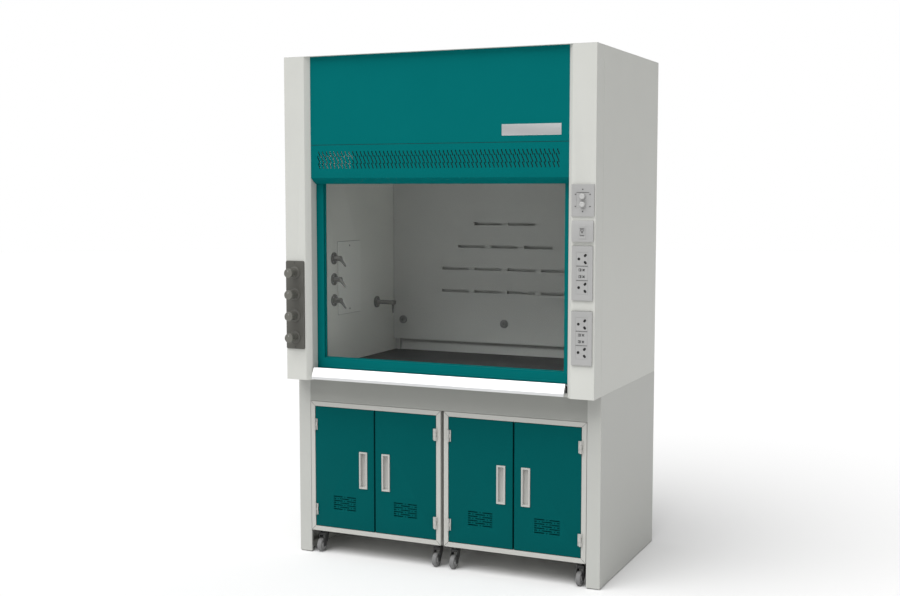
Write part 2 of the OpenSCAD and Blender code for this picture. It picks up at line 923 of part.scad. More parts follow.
module door_vent(w)
    for (row = [0:6])
        if (row % 2 == 0) {
            slot_run(w, row, [0, 0.4]);
            slot_run(w, row, [0.48, 0.52]);
            slot_run(w, row, [0.6, 1]);
        } else {
            slot_run(w, row, [0, 0.11]);
            slot_run(w, row, [0.18, 0.22]);
            slot_run(w, row, [0.3, 0.7]);
            slot_run(w, row, [0.78, 0.82]);
            slot_run(w, row, [0.89, 1]);
        }

// a left-hung door, hinge edge at X = 0
module door_leaf() {
    grip_x = door_w - 55;
    grip_z = door_z + door_h / 2;
    top_y = cabinet_y;
    difference() {
        union() {
            difference() {
                box([0, door_w], [top_y, top_y + door_t],
                    [door_z, door_z + door_h]);
                box([sheet, door_w - sheet],
                    [top_y + sheet, top_y + door_t - sheet],
                    [door_z + sheet, door_z + door_h - sheet]);
                face_xz([top_y - 1, top_y + sheet + 1])
                    translate([door_w / 2, door_z + 150]) door_vent(119);
            }
            box([grip_x - 21, grip_x + 21], [top_y - 4.5, top_y + 15],
                [grip_z - handle_h / 2, grip_z + handle_h / 2]);
            for (z = hinge_z)
                box([0.6, 8], [hinge_y + 1, top_y + 1], [z - 9, z + 9]);
        }
        box([grip_x - 13, grip_x + 13], [top_y - 10, top_y + 12.5],
            [grip_z - handle_h / 2 + 9, grip_z + handle_h / 2 - 9]);
        for (z = hinge_z)
            translate([0, hinge_y, 0]) rod_z(pin_r + fit, [z - 10, z + 10]);
    }
    for (z = hinge_z)
        translate([0, hinge_y, z - 9]) difference() {
            rod_z(hinge_r, [0, 18]);
            rod_z(pin_r + fit, [-1, 19]);
        }
}

module door(cabinet, side)
    color(teal) place() translate([cabinet * cabinet_x, 0, 0])
        mirror([side > 0 ? 1 : 0, 0, 0])
            translate([-cabinet_w / 2 + member_w + 2, 0, 0]) door_leaf();

module door_1() door(-1, -1);
module door_2() door(-1, 1);
module door_3() door(1, -1);
module door_4() door(1, 1);

// ---------- castors ----------

module castor_fork(cabinet, side)
    color([0.3, 0.3, 0.3]) place()
        translate([cabinet * cabinet_x + side * castor_x, castor_y, wheel_r]) {
            for (s = [-1, 1])
                castor_cheek(s > 0 ? [wheel_w / 2 + 2, wheel_w / 2 + 5]
                    : [-wheel_w / 2 - 5, -wheel_w / 2 - 2]);
            translate([0, -castor_trail, 0])
                rod_x(axle_r, [-wheel_w / 2 - 5, wheel_w / 2 + 5]);
            box([-wheel_w / 2 - 5, wheel_w / 2 + 5], [-16, 18],
                [43, cabinet_z - wheel_r - 21]);
            rod_z(6, [44, cabinet_z - wheel_r - 6]);
        }

module castor_fork_1() castor_fork(-1, -1);
module castor_fork_2() castor_fork(-1, 1);
module castor_fork_3() castor_fork(1, -1);
module castor_fork_4() castor_fork(1, 1);

module wheel_at(x, y)
    translate([x, y, wheel_r]) rotate([0, 90, 0]) rotate_extrude()
        polygon([
            [axle_r + fit, -wheel_w / 2],
            [wheel_r - 3, -wheel_w / 2],
            [wheel_r, -wheel_w / 2 + 3],
            [wheel_r, wheel_w / 2 - 3],
            [wheel_r - 3, wheel_w / 2],
            [axle_r + fit, wheel_w / 2]]);

module castor_wheel(cabinet, side)
    color([0.45, 0.45, 0.46]) place()
        wheel_at(cabinet * cabinet_x + side * castor_x, castor_y - castor_trail);

module castor_wheel_1() castor_wheel(-1, -1);
module castor_wheel_2() castor_wheel(-1, 1);
module castor_wheel_3() castor_wheel(1, -1);
module castor_wheel_4() castor_wheel(1, 1);

module rear_wheels(cabinet)
    color([0.45, 0.45, 0.46]) place()
        for (side = [-1, 1])
            wheel_at(cabinet * cabinet_x + side * castor_x, rear_y);

module left_rear_wheels() rear_wheels(-1);
module right_rear_wheels() rear_wheels(1);

side_panels();
left_post();
right_post();
upper_fascia();
lower_fascia();
badge_plate();
roof_panel();
exhaust_collar();
back_panel();
side_liners();
back_liner();
ceiling_liner();
baffle_panels();
worktop();
airfoil_sill();
sash_tracks();
lamp_housing();
lamp_window();
valve_plate();
service_valves();
service_outlets();
switch_plates();
socket_plates();
access_panels();
fasteners();
left_leg();
right_leg();
front_apron();
bench_frame();
levelling_feet();
shaft_bearings();
sash_frame();
sash_glass();
counterweights();
sash_cables();
weight_cables();
drum_shaft();
valve_knob_1();
valve_knob_2();
valve_knob_3();
valve_knob_4();
start_button();
stop_button();
light_rocker();
left_cabinet();
right_cabinet();
door_1();
door_2();
door_3();
door_4();
castor_fork_1();
castor_fork_2();
castor_fork_3();
castor_fork_4();
castor_wheel_1();
castor_wheel_2();
castor_wheel_3();
castor_wheel_4();
left_rear_wheels();
right_rear_wheels();
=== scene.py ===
"""Looks of a laboratory fume hood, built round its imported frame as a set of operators."""
import math

import bmesh
import bpy
from bpy.props import FloatProperty, FloatVectorProperty, IntProperty, PointerProperty
from mathutils import Matrix, Vector


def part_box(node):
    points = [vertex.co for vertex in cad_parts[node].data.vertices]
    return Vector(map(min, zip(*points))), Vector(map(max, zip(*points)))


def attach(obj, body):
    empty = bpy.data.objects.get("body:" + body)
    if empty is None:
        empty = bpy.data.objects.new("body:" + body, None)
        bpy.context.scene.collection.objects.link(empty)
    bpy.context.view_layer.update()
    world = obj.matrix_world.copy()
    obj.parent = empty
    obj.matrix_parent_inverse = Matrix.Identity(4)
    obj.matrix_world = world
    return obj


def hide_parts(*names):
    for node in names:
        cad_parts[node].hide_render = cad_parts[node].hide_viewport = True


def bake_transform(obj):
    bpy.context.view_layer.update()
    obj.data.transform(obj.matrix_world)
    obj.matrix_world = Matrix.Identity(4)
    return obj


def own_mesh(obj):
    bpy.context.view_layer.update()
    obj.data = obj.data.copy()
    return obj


bl_info = {
    "name": "Fume Hood",
    "version": (1, 0, 0),
    "blender": (4, 5, 0),
    "location": "View3D > Sidebar > Fume Hood",
    "description": "Builds the visible pieces of a laboratory fume hood round its frame",
    "category": "Object",
}

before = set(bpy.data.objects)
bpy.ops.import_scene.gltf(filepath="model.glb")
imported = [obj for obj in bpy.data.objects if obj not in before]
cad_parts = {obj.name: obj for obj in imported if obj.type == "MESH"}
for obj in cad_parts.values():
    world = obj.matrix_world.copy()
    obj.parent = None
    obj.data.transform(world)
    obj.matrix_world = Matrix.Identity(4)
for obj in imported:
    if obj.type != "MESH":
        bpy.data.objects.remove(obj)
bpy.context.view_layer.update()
ROOT = "enclosure"
MM = 0.001
FINISHES = {}


# ---------- sizes and colours that a user may change ----------

def length(name, text, value, lo=0.0, hi=1.0):
    return FloatProperty(name=name, description=text, default=value, min=lo, max=hi,
                         subtype="DISTANCE", unit="LENGTH")


def shade(name, text, value):
    return FloatVectorProperty(name=name, description=text, default=value, size=3,
                               subtype="COLOR", min=0.0, max=1.0)


class HoodSizes(bpy.types.PropertyGroup):
    """Sizes of the details that are added to the frame."""
    edge_round: length("Sheet edge", "Radius of the rounded edges of folded sheet",
                       0.9 * MM, 0, 0.003)
    slot_width: length("Vent slot width", "Width of a slot in the lower fascia",
                       4.8 * MM, 0.002, 0.008)
    slot_step: length("Vent slot step", "Distance between two slots of a row",
                      19.6 * MM, 0.012, 0.05)
    slot_lean: FloatProperty(name="Vent slot lean", description="Lean of a vent slot",
                             default=math.radians(18), subtype="ANGLE", unit="ROTATION")
    screw_radius: length("Screw head", "Radius of a screw's head", 3.4 * MM, 0.001, 0.006)
    gasket: length("Gasket", "Width of the glass gasket", 4.5 * MM, 0.002, 0.01)
    louvre_height: length("Louvre slot height", "Height of a slot in a door",
                          5.5 * MM, 0.002, 0.008)
    knob_ribs: IntProperty(name="Knob ribs", description="Ribs round a valve knob's neck",
                           default=20, min=6, max=40)
    weight_slabs: IntProperty(name="Weight slabs", description="Slabs in a counterweight",
                              default=9, min=2, max=20)


class HoodColours(bpy.types.PropertyGroup):
    """Colours of the painted and moulded pieces."""
    white: shade("White coat", "Powder coat of the posts and panels", (0.62, 0.625, 0.59))
    cabinet_white: shade("Cabinet coat", "Powder coat of the cabinets", (0.52, 0.52, 0.49))
    teal: shade("Teal coat", "Powder coat of the fascia and sash", (0.0, 0.143, 0.146))
    # Darker than the teal coat: painted shade for the doors, which sit back under the sill.
    door_teal_painted_shade: shade("Door coat", "Powder coat of the doors", (0.0, 0.090, 0.092))
    plate_grey: shade("Valve plate", "Colour of the valve plate and knobs", (0.103, 0.101, 0.089))
    plate_pale: shade("Switch plates", "Colour of the switch and socket plates",
                      (0.41, 0.41, 0.405))
    lining: shade("Lining", "Colour of the chamber's back and ceiling boards", (0.52, 0.52, 0.50))
    # The side boards are paler than the back boards, and their colour is raised above the white
    # coat as painted light.
    wall: shade("Side lining", "Colour of the boards on the chamber's side walls",
                (0.82, 0.82, 0.775))
    worktop: shade("Worktop", "Colour of the worktop", (0.034, 0.0325, 0.033))


# ---------- places taken from the frame ----------

def low(node):
    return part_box(node)[0]


def high(node):
    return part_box(node)[1]


def middle(node):
    a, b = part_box(node)
    return (a + b) / 2


# ---------- meshes ----------

def piece(name, bm, finishes, body, replaces=(), smooth=20):
    """Turns a bmesh into a finished piece that rides on a body."""
    mesh = bpy.data.meshes.new(name)
    bm.to_mesh(mesh)
    bm.free()
    return dress(bpy.data.objects.new(name, mesh), finishes, body, replaces, smooth)


def dress(obj, finishes, body, replaces=(), smooth=20):
    """Links an object, gives it its finishes and lets it ride."""
    if obj.name not in bpy.context.scene.collection.objects:
        bpy.context.scene.collection.objects.link(obj)
    mesh = obj.data
    which = [face.material_index for face in mesh.polygons]
    mesh.materials.clear()
    for each in [finishes] if isinstance(finishes, str) else finishes:
        mesh.materials.append(finish(each))
    if not isinstance(finishes, str):
        mesh.polygons.foreach_set("material_index", which)
    mesh.shade_smooth()
    mesh.set_sharp_from_angle(angle=math.radians(smooth))
    if body:
        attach(obj, body)
    if replaces:
        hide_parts(*([replaces] if isinstance(replaces, str) else replaces))
    return obj


def mm(*points):
    """Points in metres from points in millimetres."""
    return [tuple(value * MM for value in point) for point in points]


def tidy(bm, merge=1e-6):
    bmesh.ops.remove_doubles(bm, verts=bm.verts, dist=merge)
    bmesh.ops.recalc_face_normals(bm, faces=bm.faces)
    return bm


def round_edges(bm, width, segments=2, angle=25):
    """Rounds every edge that turns by more than the angle."""
    turn = math.radians(angle)
    sharp = [e for e in bm.edges if len(e.link_faces) == 2 and e.calc_face_angle(0) > turn]
    if sharp:
        bmesh.ops.bevel(bm, geom=sharp, offset=width, offset_type="OFFSET", segments=segments,
                        profile=0.5, affect="EDGES", clamp_overlap=True)
    return bm


def brick(bm, lo, hi, mat=0):
    """A box from its lowest and highest corners."""
    lo, hi = Vector(lo), Vector(hi)
    made = bmesh.ops.create_cube(bm, size=1.0, matrix=Matrix.LocRotScale(
        (lo + hi) / 2, None, hi - lo))
    for f in {f for v in made["verts"] for f in v.link_faces}:
        f.material_index = mat
    return made["verts"]


def lathe(bm, outline, centre, axis, steps=40, mat=0):
    """Turns an outline of (radius, distance) about an axis through centre."""
    turn = Vector((0, 0, 1)).rotation_difference(Vector(axis)).to_matrix().to_4x4()
    place = Matrix.Translation(centre) @ turn
    rings = []
    for r, h in outline:
        if r < 1e-7:
            rings.append([bm.verts.new(place @ Vector((0, 0, h)))])
        else:
            rings.append([bm.verts.new(place @ Vector((
                r * math.cos(2 * math.pi * i / steps), r * math.sin(2 * math.pi * i / steps), h)))
                for i in range(steps)])
    faces = []
    for a, b in zip(rings, rings[1:]):
        for i in range(steps):
            j = (i + 1) % steps
            if len(a) == 1 and len(b) == 1:
                continue
            if len(a) == 1:
                faces.append(bm.faces.new((a[0], b[j], b[i])))
            elif len(b) == 1:
                faces.append(bm.faces.new((a[i], a[j], b[0])))
            else:
                faces.append(bm.faces.new((a[i], a[j], b[j], b[i])))
    for f in faces:
        f.material_index = mat
    return faces


def soften(node, finishes, body=ROOT, width=0.5 * MM, segments=2, name=None,
           sort=None, merge=2e-5):
    """A copy of a frame node with welded faces and rounded edges, which stands for it.

    Where sort is given, it picks a finish for each face from its middle and normal.
    """
    bm = bmesh.new()
    bm.from_mesh(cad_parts[node].data)
    bmesh.ops.remove_doubles(bm, verts=bm.verts, dist=merge)
    bmesh.ops.dissolve_limit(bm, angle_limit=math.radians(0.6), verts=bm.verts, edges=bm.edges)
    if width:
        round_edges(bm, width, segments)
    for f in bm.faces if sort else ():
        f.material_index = sort(f.calc_center_median(), f.normal)
    return piece(name or node + "_shell", bm, finishes, body, node)


# ---------- finishes ----------

def socket_in(tree, name, kind, value, lo=None, hi=None):
    s = tree.interface.new_socket(name=name, in_out="INPUT", socket_type=kind)
    s.default_value = value
    if lo is not None:
        s.min_value, s.max_value = lo, hi
    return s


def socket_out(tree, name, kind):
    return tree.interface.new_socket(name=name, in_out="OUTPUT", socket_type=kind)


class Wiring:
    """Short calls for building a node tree."""

    def __init__(self, tree):
        self.tree = tree
        self.spot = 0

    def add(self, kind, ins=(), **settings):
        node = self.tree.nodes.new(kind)
        node.location = (180 * self.spot, 0)
        self.spot += 1
        for key, value in settings.items():
            setattr(node, key, value)
        for key, value in dict(ins).items():
            socket = node.inputs[key]
            if isinstance(value, bpy.types.NodeSocket):
                self.tree.links.new(value, socket)
            else:
                socket.default_value = value
        return node

    def math(self, op, a, b=0.0, clamp=False):
        return self.add("ShaderNodeMath", {0: a, 1: b}, operation=op, use_clamp=clamp).outputs[0]

    def blend(self, kind, factor, a, b):
        node = self.add("ShaderNodeMix", data_type="RGBA", blend_type=kind)
        for key, value in ((0, factor), (6, a), (7, b)):
            if isinstance(value, bpy.types.NodeSocket):
                self.tree.links.new(value, node.inputs[key])
            else:
                node.inputs[key].default_value = value
        return node.outputs[2]

    def ramp(self, value, *stops):
        node = self.add("ShaderNodeValToRGB", {0: value})
        points = node.color_ramp.elements
        while len(points) < len(stops):
            points.new(0.5)
        for point, (at, shade) in zip(points, stops):
            point.position = at
            point.color = (shade, shade, shade, 1)
        return node.outputs[0]


def grain_group():
    """Fine surface grain: puts out a height and a mottle mask."""
    tree = bpy.data.node_groups.new("Surface grain", "ShaderNodeTree")
    socket_in(tree, "Grain size", "NodeSocketFloat", 900.0)
    socket_in(tree, "Mottle size", "NodeSocketFloat", 6.0)
    socket_in(tree, "Stretch", "NodeSocketVector", (1, 1, 1))
    socket_out(tree, "Height", "NodeSocketFloat")
    socket_out(tree, "Mottle", "NodeSocketFloat")
    w = Wiring(tree)
    entry = w.add("NodeGroupInput")
    where = w.add("ShaderNodeTexCoord").outputs["Object"]
    run = w.add("ShaderNodeVectorMath", {0: where, 1: entry.outputs["Stretch"]},
                operation="MULTIPLY").outputs[0]
    fine = w.add("ShaderNodeTexNoise", {"Vector": run, "Scale": entry.outputs["Grain size"],
                                        "Detail": 3.0, "Roughness": 0.55}).outputs["Fac"]
    broad = w.add("ShaderNodeTexNoise", {"Vector": where, "Scale": entry.outputs["Mottle size"],
                                         "Detail": 4.0, "Roughness": 0.6}).outputs["Fac"]
    w.add("NodeGroupOutput", {"Height": fine, "Mottle": broad})
    return tree


def wear_group():
    """Masks of rubbed edges and of dust that settles on upper faces."""
    tree = bpy.data.node_groups.new("Wear and dust", "ShaderNodeTree")
    socket_in(tree, "Edge width", "NodeSocketFloat", 0.0015)
    socket_out(tree, "Edge", "NodeSocketFloat")
    socket_out(tree, "Dust", "NodeSocketFloat")
    w = Wiring(tree)
    entry = w.add("NodeGroupInput")
    where = w.add("ShaderNodeTexCoord").outputs["Object"]
    shape = w.add("ShaderNodeNewGeometry")
    rounded = w.add("ShaderNodeBevel", {"Radius": entry.outputs["Edge width"]}, samples=4)
    same = w.add("ShaderNodeVectorMath", {0: rounded.outputs[0], 1: shape.outputs["Normal"]},
                 operation="DOT_PRODUCT").outputs["Value"]
    turned = w.math("SUBTRACT", 1.0, same, clamp=True)
    broken = w.add("ShaderNodeTexNoise",
                   {"Vector": where, "Scale": 70.0, "Detail": 5.0}).outputs["Fac"]
    edge = w.math("MULTIPLY", w.ramp(turned, (0.02, 0), (0.2, 1)),
                  w.ramp(broken, (0.45, 0), (0.62, 1)), clamp=True)
    up = w.add("ShaderNodeSeparateXYZ", {0: shape.outputs["Normal"]}).outputs["Z"]
    cloud = w.add("ShaderNodeTexNoise",
                  {"Vector": where, "Scale": 14.0, "Detail": 6.0}).outputs["Fac"]
    dust = w.math("MULTIPLY", w.ramp(up, (0.55, 0), (0.95, 1)),
                  w.ramp(cloud, (0.35, 0.2), (0.7, 1)), clamp=True)
    w.add("NodeGroupOutput", {"Edge": edge, "Dust": dust})
    return tree


def group_of(name, maker):
    return bpy.data.node_groups.get(name) or maker()


# name: colour, second shade, roughness, metallic, grain size, bump, wear colour, wear, dust
LOOKS = {
    "white coat": dict(colour="white", gloss=0.25, rough=0.45, grain=650, bump=0.045,
                       wear=(0.42, 0.42, 0.40), wear_by=0.35, dust=0.25),
    "cabinet coat": dict(colour="cabinet_white", gloss=0.2, rough=0.45, grain=650, bump=0.045,
                         wear=(0.36, 0.36, 0.34), wear_by=0.35, dust=0.25),
    # Leg coat: the white coat darkened as painted shade under the sill.
    "leg coat": dict(colour=(0.505, 0.51, 0.483), gloss=0.25, rough=0.45, grain=650, bump=0.045,
                     wear=(0.4, 0.4, 0.38), wear_by=0.35, dust=0.25),
    # Apron coat: the white coat darkened further as painted shade under the sill.
    "apron coat": dict(colour=(0.35, 0.355, 0.333), gloss=0.2, rough=0.5, grain=650, bump=0.045,
                       wear=(0.36, 0.36, 0.34), wear_by=0.35, dust=0.25),
    # Near-black backing of painted shade behind the vent slots and the fascia seam.
    "vent felt": dict(colour=(0.024, 0.042, 0.042), gloss=0.05, rough=0.8, grain=900, bump=0.2,
                      wear=(0.05, 0.06, 0.06), wear_by=0.2, dust=0.05),
    "teal coat": dict(colour="teal", gloss=0.03, rough=0.42, grain=650, bump=0.04,
                      wear=(0.01, 0.2, 0.2), wear_by=0.3, dust=0.05),
    # Door coat: the teal darkened as painted shade under the sill.
    "door coat": dict(colour="door_teal_painted_shade", gloss=0.03, rough=0.44, grain=650, bump=0.04,
                      wear=(0.01, 0.18, 0.18), wear_by=0.3, dust=0.05),
    "grey plate": dict(colour="plate_grey", rough=0.5, grain=900, bump=0.06,
                       wear=(0.3, 0.3, 0.28), wear_by=0.3, dust=0.2),
    "knob plastic": dict(colour=(0.15, 0.148, 0.13), rough=0.45, grain=1500, bump=0.05,
                         wear=(0.25, 0.25, 0.23), wear_by=0.3, dust=0.2),
    "pale plastic": dict(colour="plate_pale", gloss=0.2, rough=0.45, grain=1400, bump=0.03,
                         wear=(0.6, 0.6, 0.6), wear_by=0.2, dust=0.15),
    "button plastic": dict(colour=(0.52, 0.52, 0.51), gloss=0.25, rough=0.35, grain=1800,
                           bump=0.02, wear=(0.7, 0.7, 0.7), wear_by=0.2, dust=0.1),
    # Near-black painted shade for the hole walls, pocket floors and hole ovals of the plates.
    "dark recess": dict(colour=(0.012, 0.012, 0.012), rough=0.7, grain=1200, bump=0.03,
                        wear=(0.05, 0.05, 0.05), wear_by=0.1, dust=0.1),
    "lining board": dict(colour="lining", gloss=0.15, rough=0.5, grain=420, bump=0.03,
                         wear=(0.2, 0.2, 0.19), wear_by=0.3, dust=0.1),
    "panel board": dict(colour=(0.86, 0.86, 0.82), gloss=0.15, rough=0.5, grain=420, bump=0.03,
                        wear=(0.5, 0.5, 0.48), wear_by=0.3, dust=0.1),
    # Side wall boards: a pale board, brightened further as painted light.
    "wall board": dict(colour="wall", gloss=0.15, rough=0.5, grain=420, bump=0.03,
                       wear=(0.4, 0.4, 0.38), wear_by=0.3, dust=0.1),
    "black worktop": dict(colour="worktop", gloss=0.1, rough=0.5, grain=520, bump=0.05,
                          wear=(0.07, 0.07, 0.07), wear_by=0.3, dust=0.02, speckle=0.03),
    "bright steel": dict(colour=(0.8, 0.805, 0.81), rough=0.48, metal=0.9, grain=260, bump=0.03,
                         stretch=(1, 14, 14), wear=(0.5, 0.5, 0.5), wear_by=0.15, dust=0.1),
    "zinc steel": dict(colour=(0.52, 0.53, 0.545), rough=0.36, metal=1.0, grain=500, bump=0.05,
                       wear=(0.75, 0.75, 0.75), wear_by=0.4, dust=0.15),
    "plated brass": dict(colour=(0.5, 0.42, 0.26), rough=0.32, metal=1.0, grain=500, bump=0.04,
                         wear=(0.7, 0.6, 0.4), wear_by=0.4, dust=0.15),
    "cast iron": dict(colour=(0.05, 0.05, 0.052), rough=0.62, grain=260, bump=0.35,
                      wear=(0.2, 0.2, 0.2), wear_by=0.5, dust=0.3),
    "dark steel": dict(colour=(0.06, 0.06, 0.06), rough=0.45, metal=0.4, grain=600, bump=0.05,
                       wear=(0.3, 0.3, 0.3), wear_by=0.5, dust=0.2),
    "grey tyre": dict(colour=(0.2, 0.2, 0.2), rough=0.6, grain=900, bump=0.12,
                      wear=(0.3, 0.3, 0.3), wear_by=0.4, dust=0.35),
    # Fastener grey, also used as painted shade round the access panels.
    "fastener grey": dict(colour=(0.22, 0.22, 0.215), gloss=0.2, rough=0.45, grain=900, bump=0.05,
                          wear=(0.45, 0.45, 0.45), wear_by=0.3, dust=0.1),
    "wheel core": dict(colour=(0.33, 0.33, 0.33), rough=0.45, grain=900, bump=0.05,
                       wear=(0.45, 0.45, 0.45), wear_by=0.3, dust=0.25),
    "black rubber": dict(colour=(0.018, 0.018, 0.018), rough=0.65, grain=1100, bump=0.1,
                         wear=(0.06, 0.06, 0.06), wear_by=0.3, dust=0.3),
    "wire rope": dict(colour=(0.42, 0.43, 0.44), rough=0.4, metal=1.0, grain=700, bump=0.5,
                      stretch=(1, 1, 0.35), wear=(0.3, 0.3, 0.3), wear_by=0.2, dust=0.1),
    "lamp white": dict(colour=(0.86, 0.87, 0.86), rough=0.25, grain=300, bump=0.02,
                       wear=(0.7, 0.7, 0.7), wear_by=0.1, dust=0.1),
    "hinge grey": dict(colour=(0.5, 0.495, 0.47), rough=0.4, grain=900, bump=0.04,
                       wear=(0.7, 0.7, 0.68), wear_by=0.4, dust=0.15),
    "outlet coat": dict(colour=(0.2, 0.196, 0.186), gloss=0.2, rough=0.45, grain=1000, bump=0.04,
                        wear=(0.3, 0.3, 0.28), wear_by=0.3, dust=0.15),
    # Dark grey of prints and seams, also used as painted shade in the plates' grooves and along
    # the recess edge.
    "mark grey": dict(colour=(0.06, 0.06, 0.06), rough=0.5, grain=1500, bump=0.02,
                      wear=(0.1, 0.1, 0.1), wear_by=0.1, dust=0.05),
    "satin badge": dict(colour=(0.55, 0.56, 0.56), rough=0.34, metal=0.6, grain=300, bump=0.03,
                        stretch=(1, 12, 12), wear=(0.7, 0.7, 0.7), wear_by=0.3, dust=0.1),
}


def finish(name):
    """The named finish, built the first time that it is asked for."""
    if name in FINISHES:
        return FINISHES[name]
    mat = bpy.data.materials.new(name)
    mat.use_nodes = True
    tree = mat.node_tree
    tree.nodes.clear()
    w = Wiring(tree)
    out = w.add("ShaderNodeOutputMaterial")
    if name in ("sash glass", "lamp diffuser"):
        glazing(name, w, out)
    else:
        coated(LOOKS[name], w, out)
    FINISHES[name] = mat
    return mat


def coated(look, w, out):
    """A solid finish: mottled colour, fine grain, rubbed edges and settled dust."""
    colour = look["colour"]
    if isinstance(colour, str):
        colour = getattr(bpy.context.scene.hood_colours, colour)
    colour = (*colour, 1)
    grain = w.add("ShaderNodeGroup", node_tree=group_of("Surface grain", grain_group))
    grain.inputs["Grain size"].default_value = look["grain"]
    grain.inputs["Stretch"].default_value = look.get("stretch", (1, 1, 1))
    wear = w.add("ShaderNodeGroup", node_tree=group_of("Wear and dust", wear_group))
    mottle = w.ramp(grain.outputs["Mottle"], (0.3, 1 - look.get("mottle", 0.025)), (0.7, 1.0))
    base = w.blend("MULTIPLY", 1.0, colour, mottle)
    if "speckle" in look:
        fleck = w.add("ShaderNodeTexVoronoi", {"Scale": 480.0,
                      "Vector": w.add("ShaderNodeTexCoord").outputs["Object"]}).outputs["Distance"]
        base = w.blend("ADD", w.ramp(fleck, (0.0, look["speckle"] * 4), (0.22, 0)), base,
                       (0.3, 0.3, 0.3, 1))
    rubbed = w.math("MULTIPLY", wear.outputs["Edge"], look["wear_by"])
    base = w.blend("MIX", rubbed, base, (*look["wear"], 1))
    dusty = w.math("MULTIPLY", wear.outputs["Dust"], look["dust"] * 0.35)
    base = w.blend("MIX", dusty, base, (0.5, 0.49, 0.46, 1))
    uneven = w.math("MULTIPLY_ADD", grain.outputs["Mottle"], 0.16)
    uneven.node.inputs[2].default_value = look["rough"] - 0.08
    rough = w.math("ADD", uneven, w.math("MULTIPLY", dusty, 0.6), clamp=True)
    bump = w.add("ShaderNodeBump", {"Strength": look["bump"], "Distance": 0.0006,
                                    "Height": grain.outputs["Height"]})
    shader = w.add("ShaderNodeBsdfPrincipled", {"Base Color": base, "Roughness": rough,
                   "Metallic": look.get("metal", 0.0), "Normal": bump.outputs[0],
                   "Specular IOR Level": look.get("gloss", 0.35)})
    w.tree.links.new(shader.outputs[0], out.inputs[0])


def glazing(name, w, out):
    """Clear sash glass and the lamp's frosted window, both open to the light of lamps."""
    clear = name == "sash glass"
    grain = w.add("ShaderNodeGroup", node_tree=group_of("Surface grain", grain_group))
    grain.inputs["Mottle size"].default_value = 9.0
    shader = w.add("ShaderNodeBsdfPrincipled")
    shader.inputs["Base Color"].default_value = (0.97, 0.985, 0.98, 1)
    shader.inputs["Transmission Weight"].default_value = 1.0
    shader.inputs["IOR"].default_value = 1.14 if clear else 1.45
    rough = w.math("MULTIPLY_ADD", grain.outputs["Mottle"], 0.02 if clear else 0.1)
    rough.node.inputs[2].default_value = 0.0 if clear else 0.3
    w.tree.links.new(rough, shader.inputs["Roughness"])
    lamps = w.add("ShaderNodeLightPath").outputs["Is Shadow Ray"]
    open_way = w.add("ShaderNodeBsdfTransparent", {"Color": (0.93, 0.955, 0.95, 1)})
    both = w.add("ShaderNodeMixShader", {0: lamps, 1: shader.outputs[0], 2: open_way.outputs[0]})
    w.tree.links.new(both.outputs[0], out.inputs[0])


# ---------- repeats, made by Geometry Nodes ----------

def gn_tree(name, *inputs):
    """A modifier tree with a geometry in and out, and the named inputs."""
    tree = bpy.data.node_groups.new(name, "GeometryNodeTree")
    tree.is_modifier = True
    tree.interface.new_socket(name="Geometry", in_out="INPUT", socket_type="NodeSocketGeometry")
    for label, kind in inputs:
        tree.interface.new_socket(name=label, in_out="INPUT", socket_type=kind)
    tree.interface.new_socket(name="Geometry", in_out="OUTPUT", socket_type="NodeSocketGeometry")
    w = Wiring(tree)
    return tree, w, w.add("NodeGroupInput").outputs


def close_tree(tree, w, given, last):
    """Ends a tree with realized instances and the material."""
    real = w.add("GeometryNodeRealizeInstances", {"Geometry": last})
    coat = w.add("GeometryNodeSetMaterial", {"Geometry": real.outputs[0],
                                             "Material": given["Material"]})
    w.add("NodeGroupOutput", {"Geometry": coat.outputs[0]})
    return tree


def copies_tree():
    """Copies of an item, one on each point, scaled by the point's own size."""
    tree, w, given = gn_tree("Copies on points", ("Item", "NodeSocketObject"),
                             ("Size", "NodeSocketFloat"), ("Material", "NodeSocketMaterial"))
    item = w.add("GeometryNodeObjectInfo", {"Object": given["Item"]})
    turn = w.add("GeometryNodeInputNamedAttribute", {"Name": "turn"}, data_type="FLOAT_VECTOR")
    copies = w.add("GeometryNodeInstanceOnPoints", {
        "Points": given["Geometry"], "Instance": item.outputs["Geometry"],
        "Rotation": turn.outputs["Attribute"], "Scale": given["Size"]})
    return close_tree(tree, w, given, copies.outputs[0])


def row_tree():
    """Copies of an item in a straight row."""
    tree, w, given = gn_tree("Row of copies", ("Item", "NodeSocketObject"),
                             ("Count", "NodeSocketInt"), ("Start", "NodeSocketVector"),
                             ("Step", "NodeSocketVector"), ("Material", "NodeSocketMaterial"))
    item = w.add("GeometryNodeObjectInfo", {"Object": given["Item"]})
    line = w.add("GeometryNodeMeshLine", {"Count": given["Count"], "Offset": given["Step"],
                                          "Start Location": given["Start"]})
    copies = w.add("GeometryNodeInstanceOnPoints", {"Points": line.outputs[0],
                                                    "Instance": item.outputs["Geometry"]})
    return close_tree(tree, w, given, copies.outputs[0])


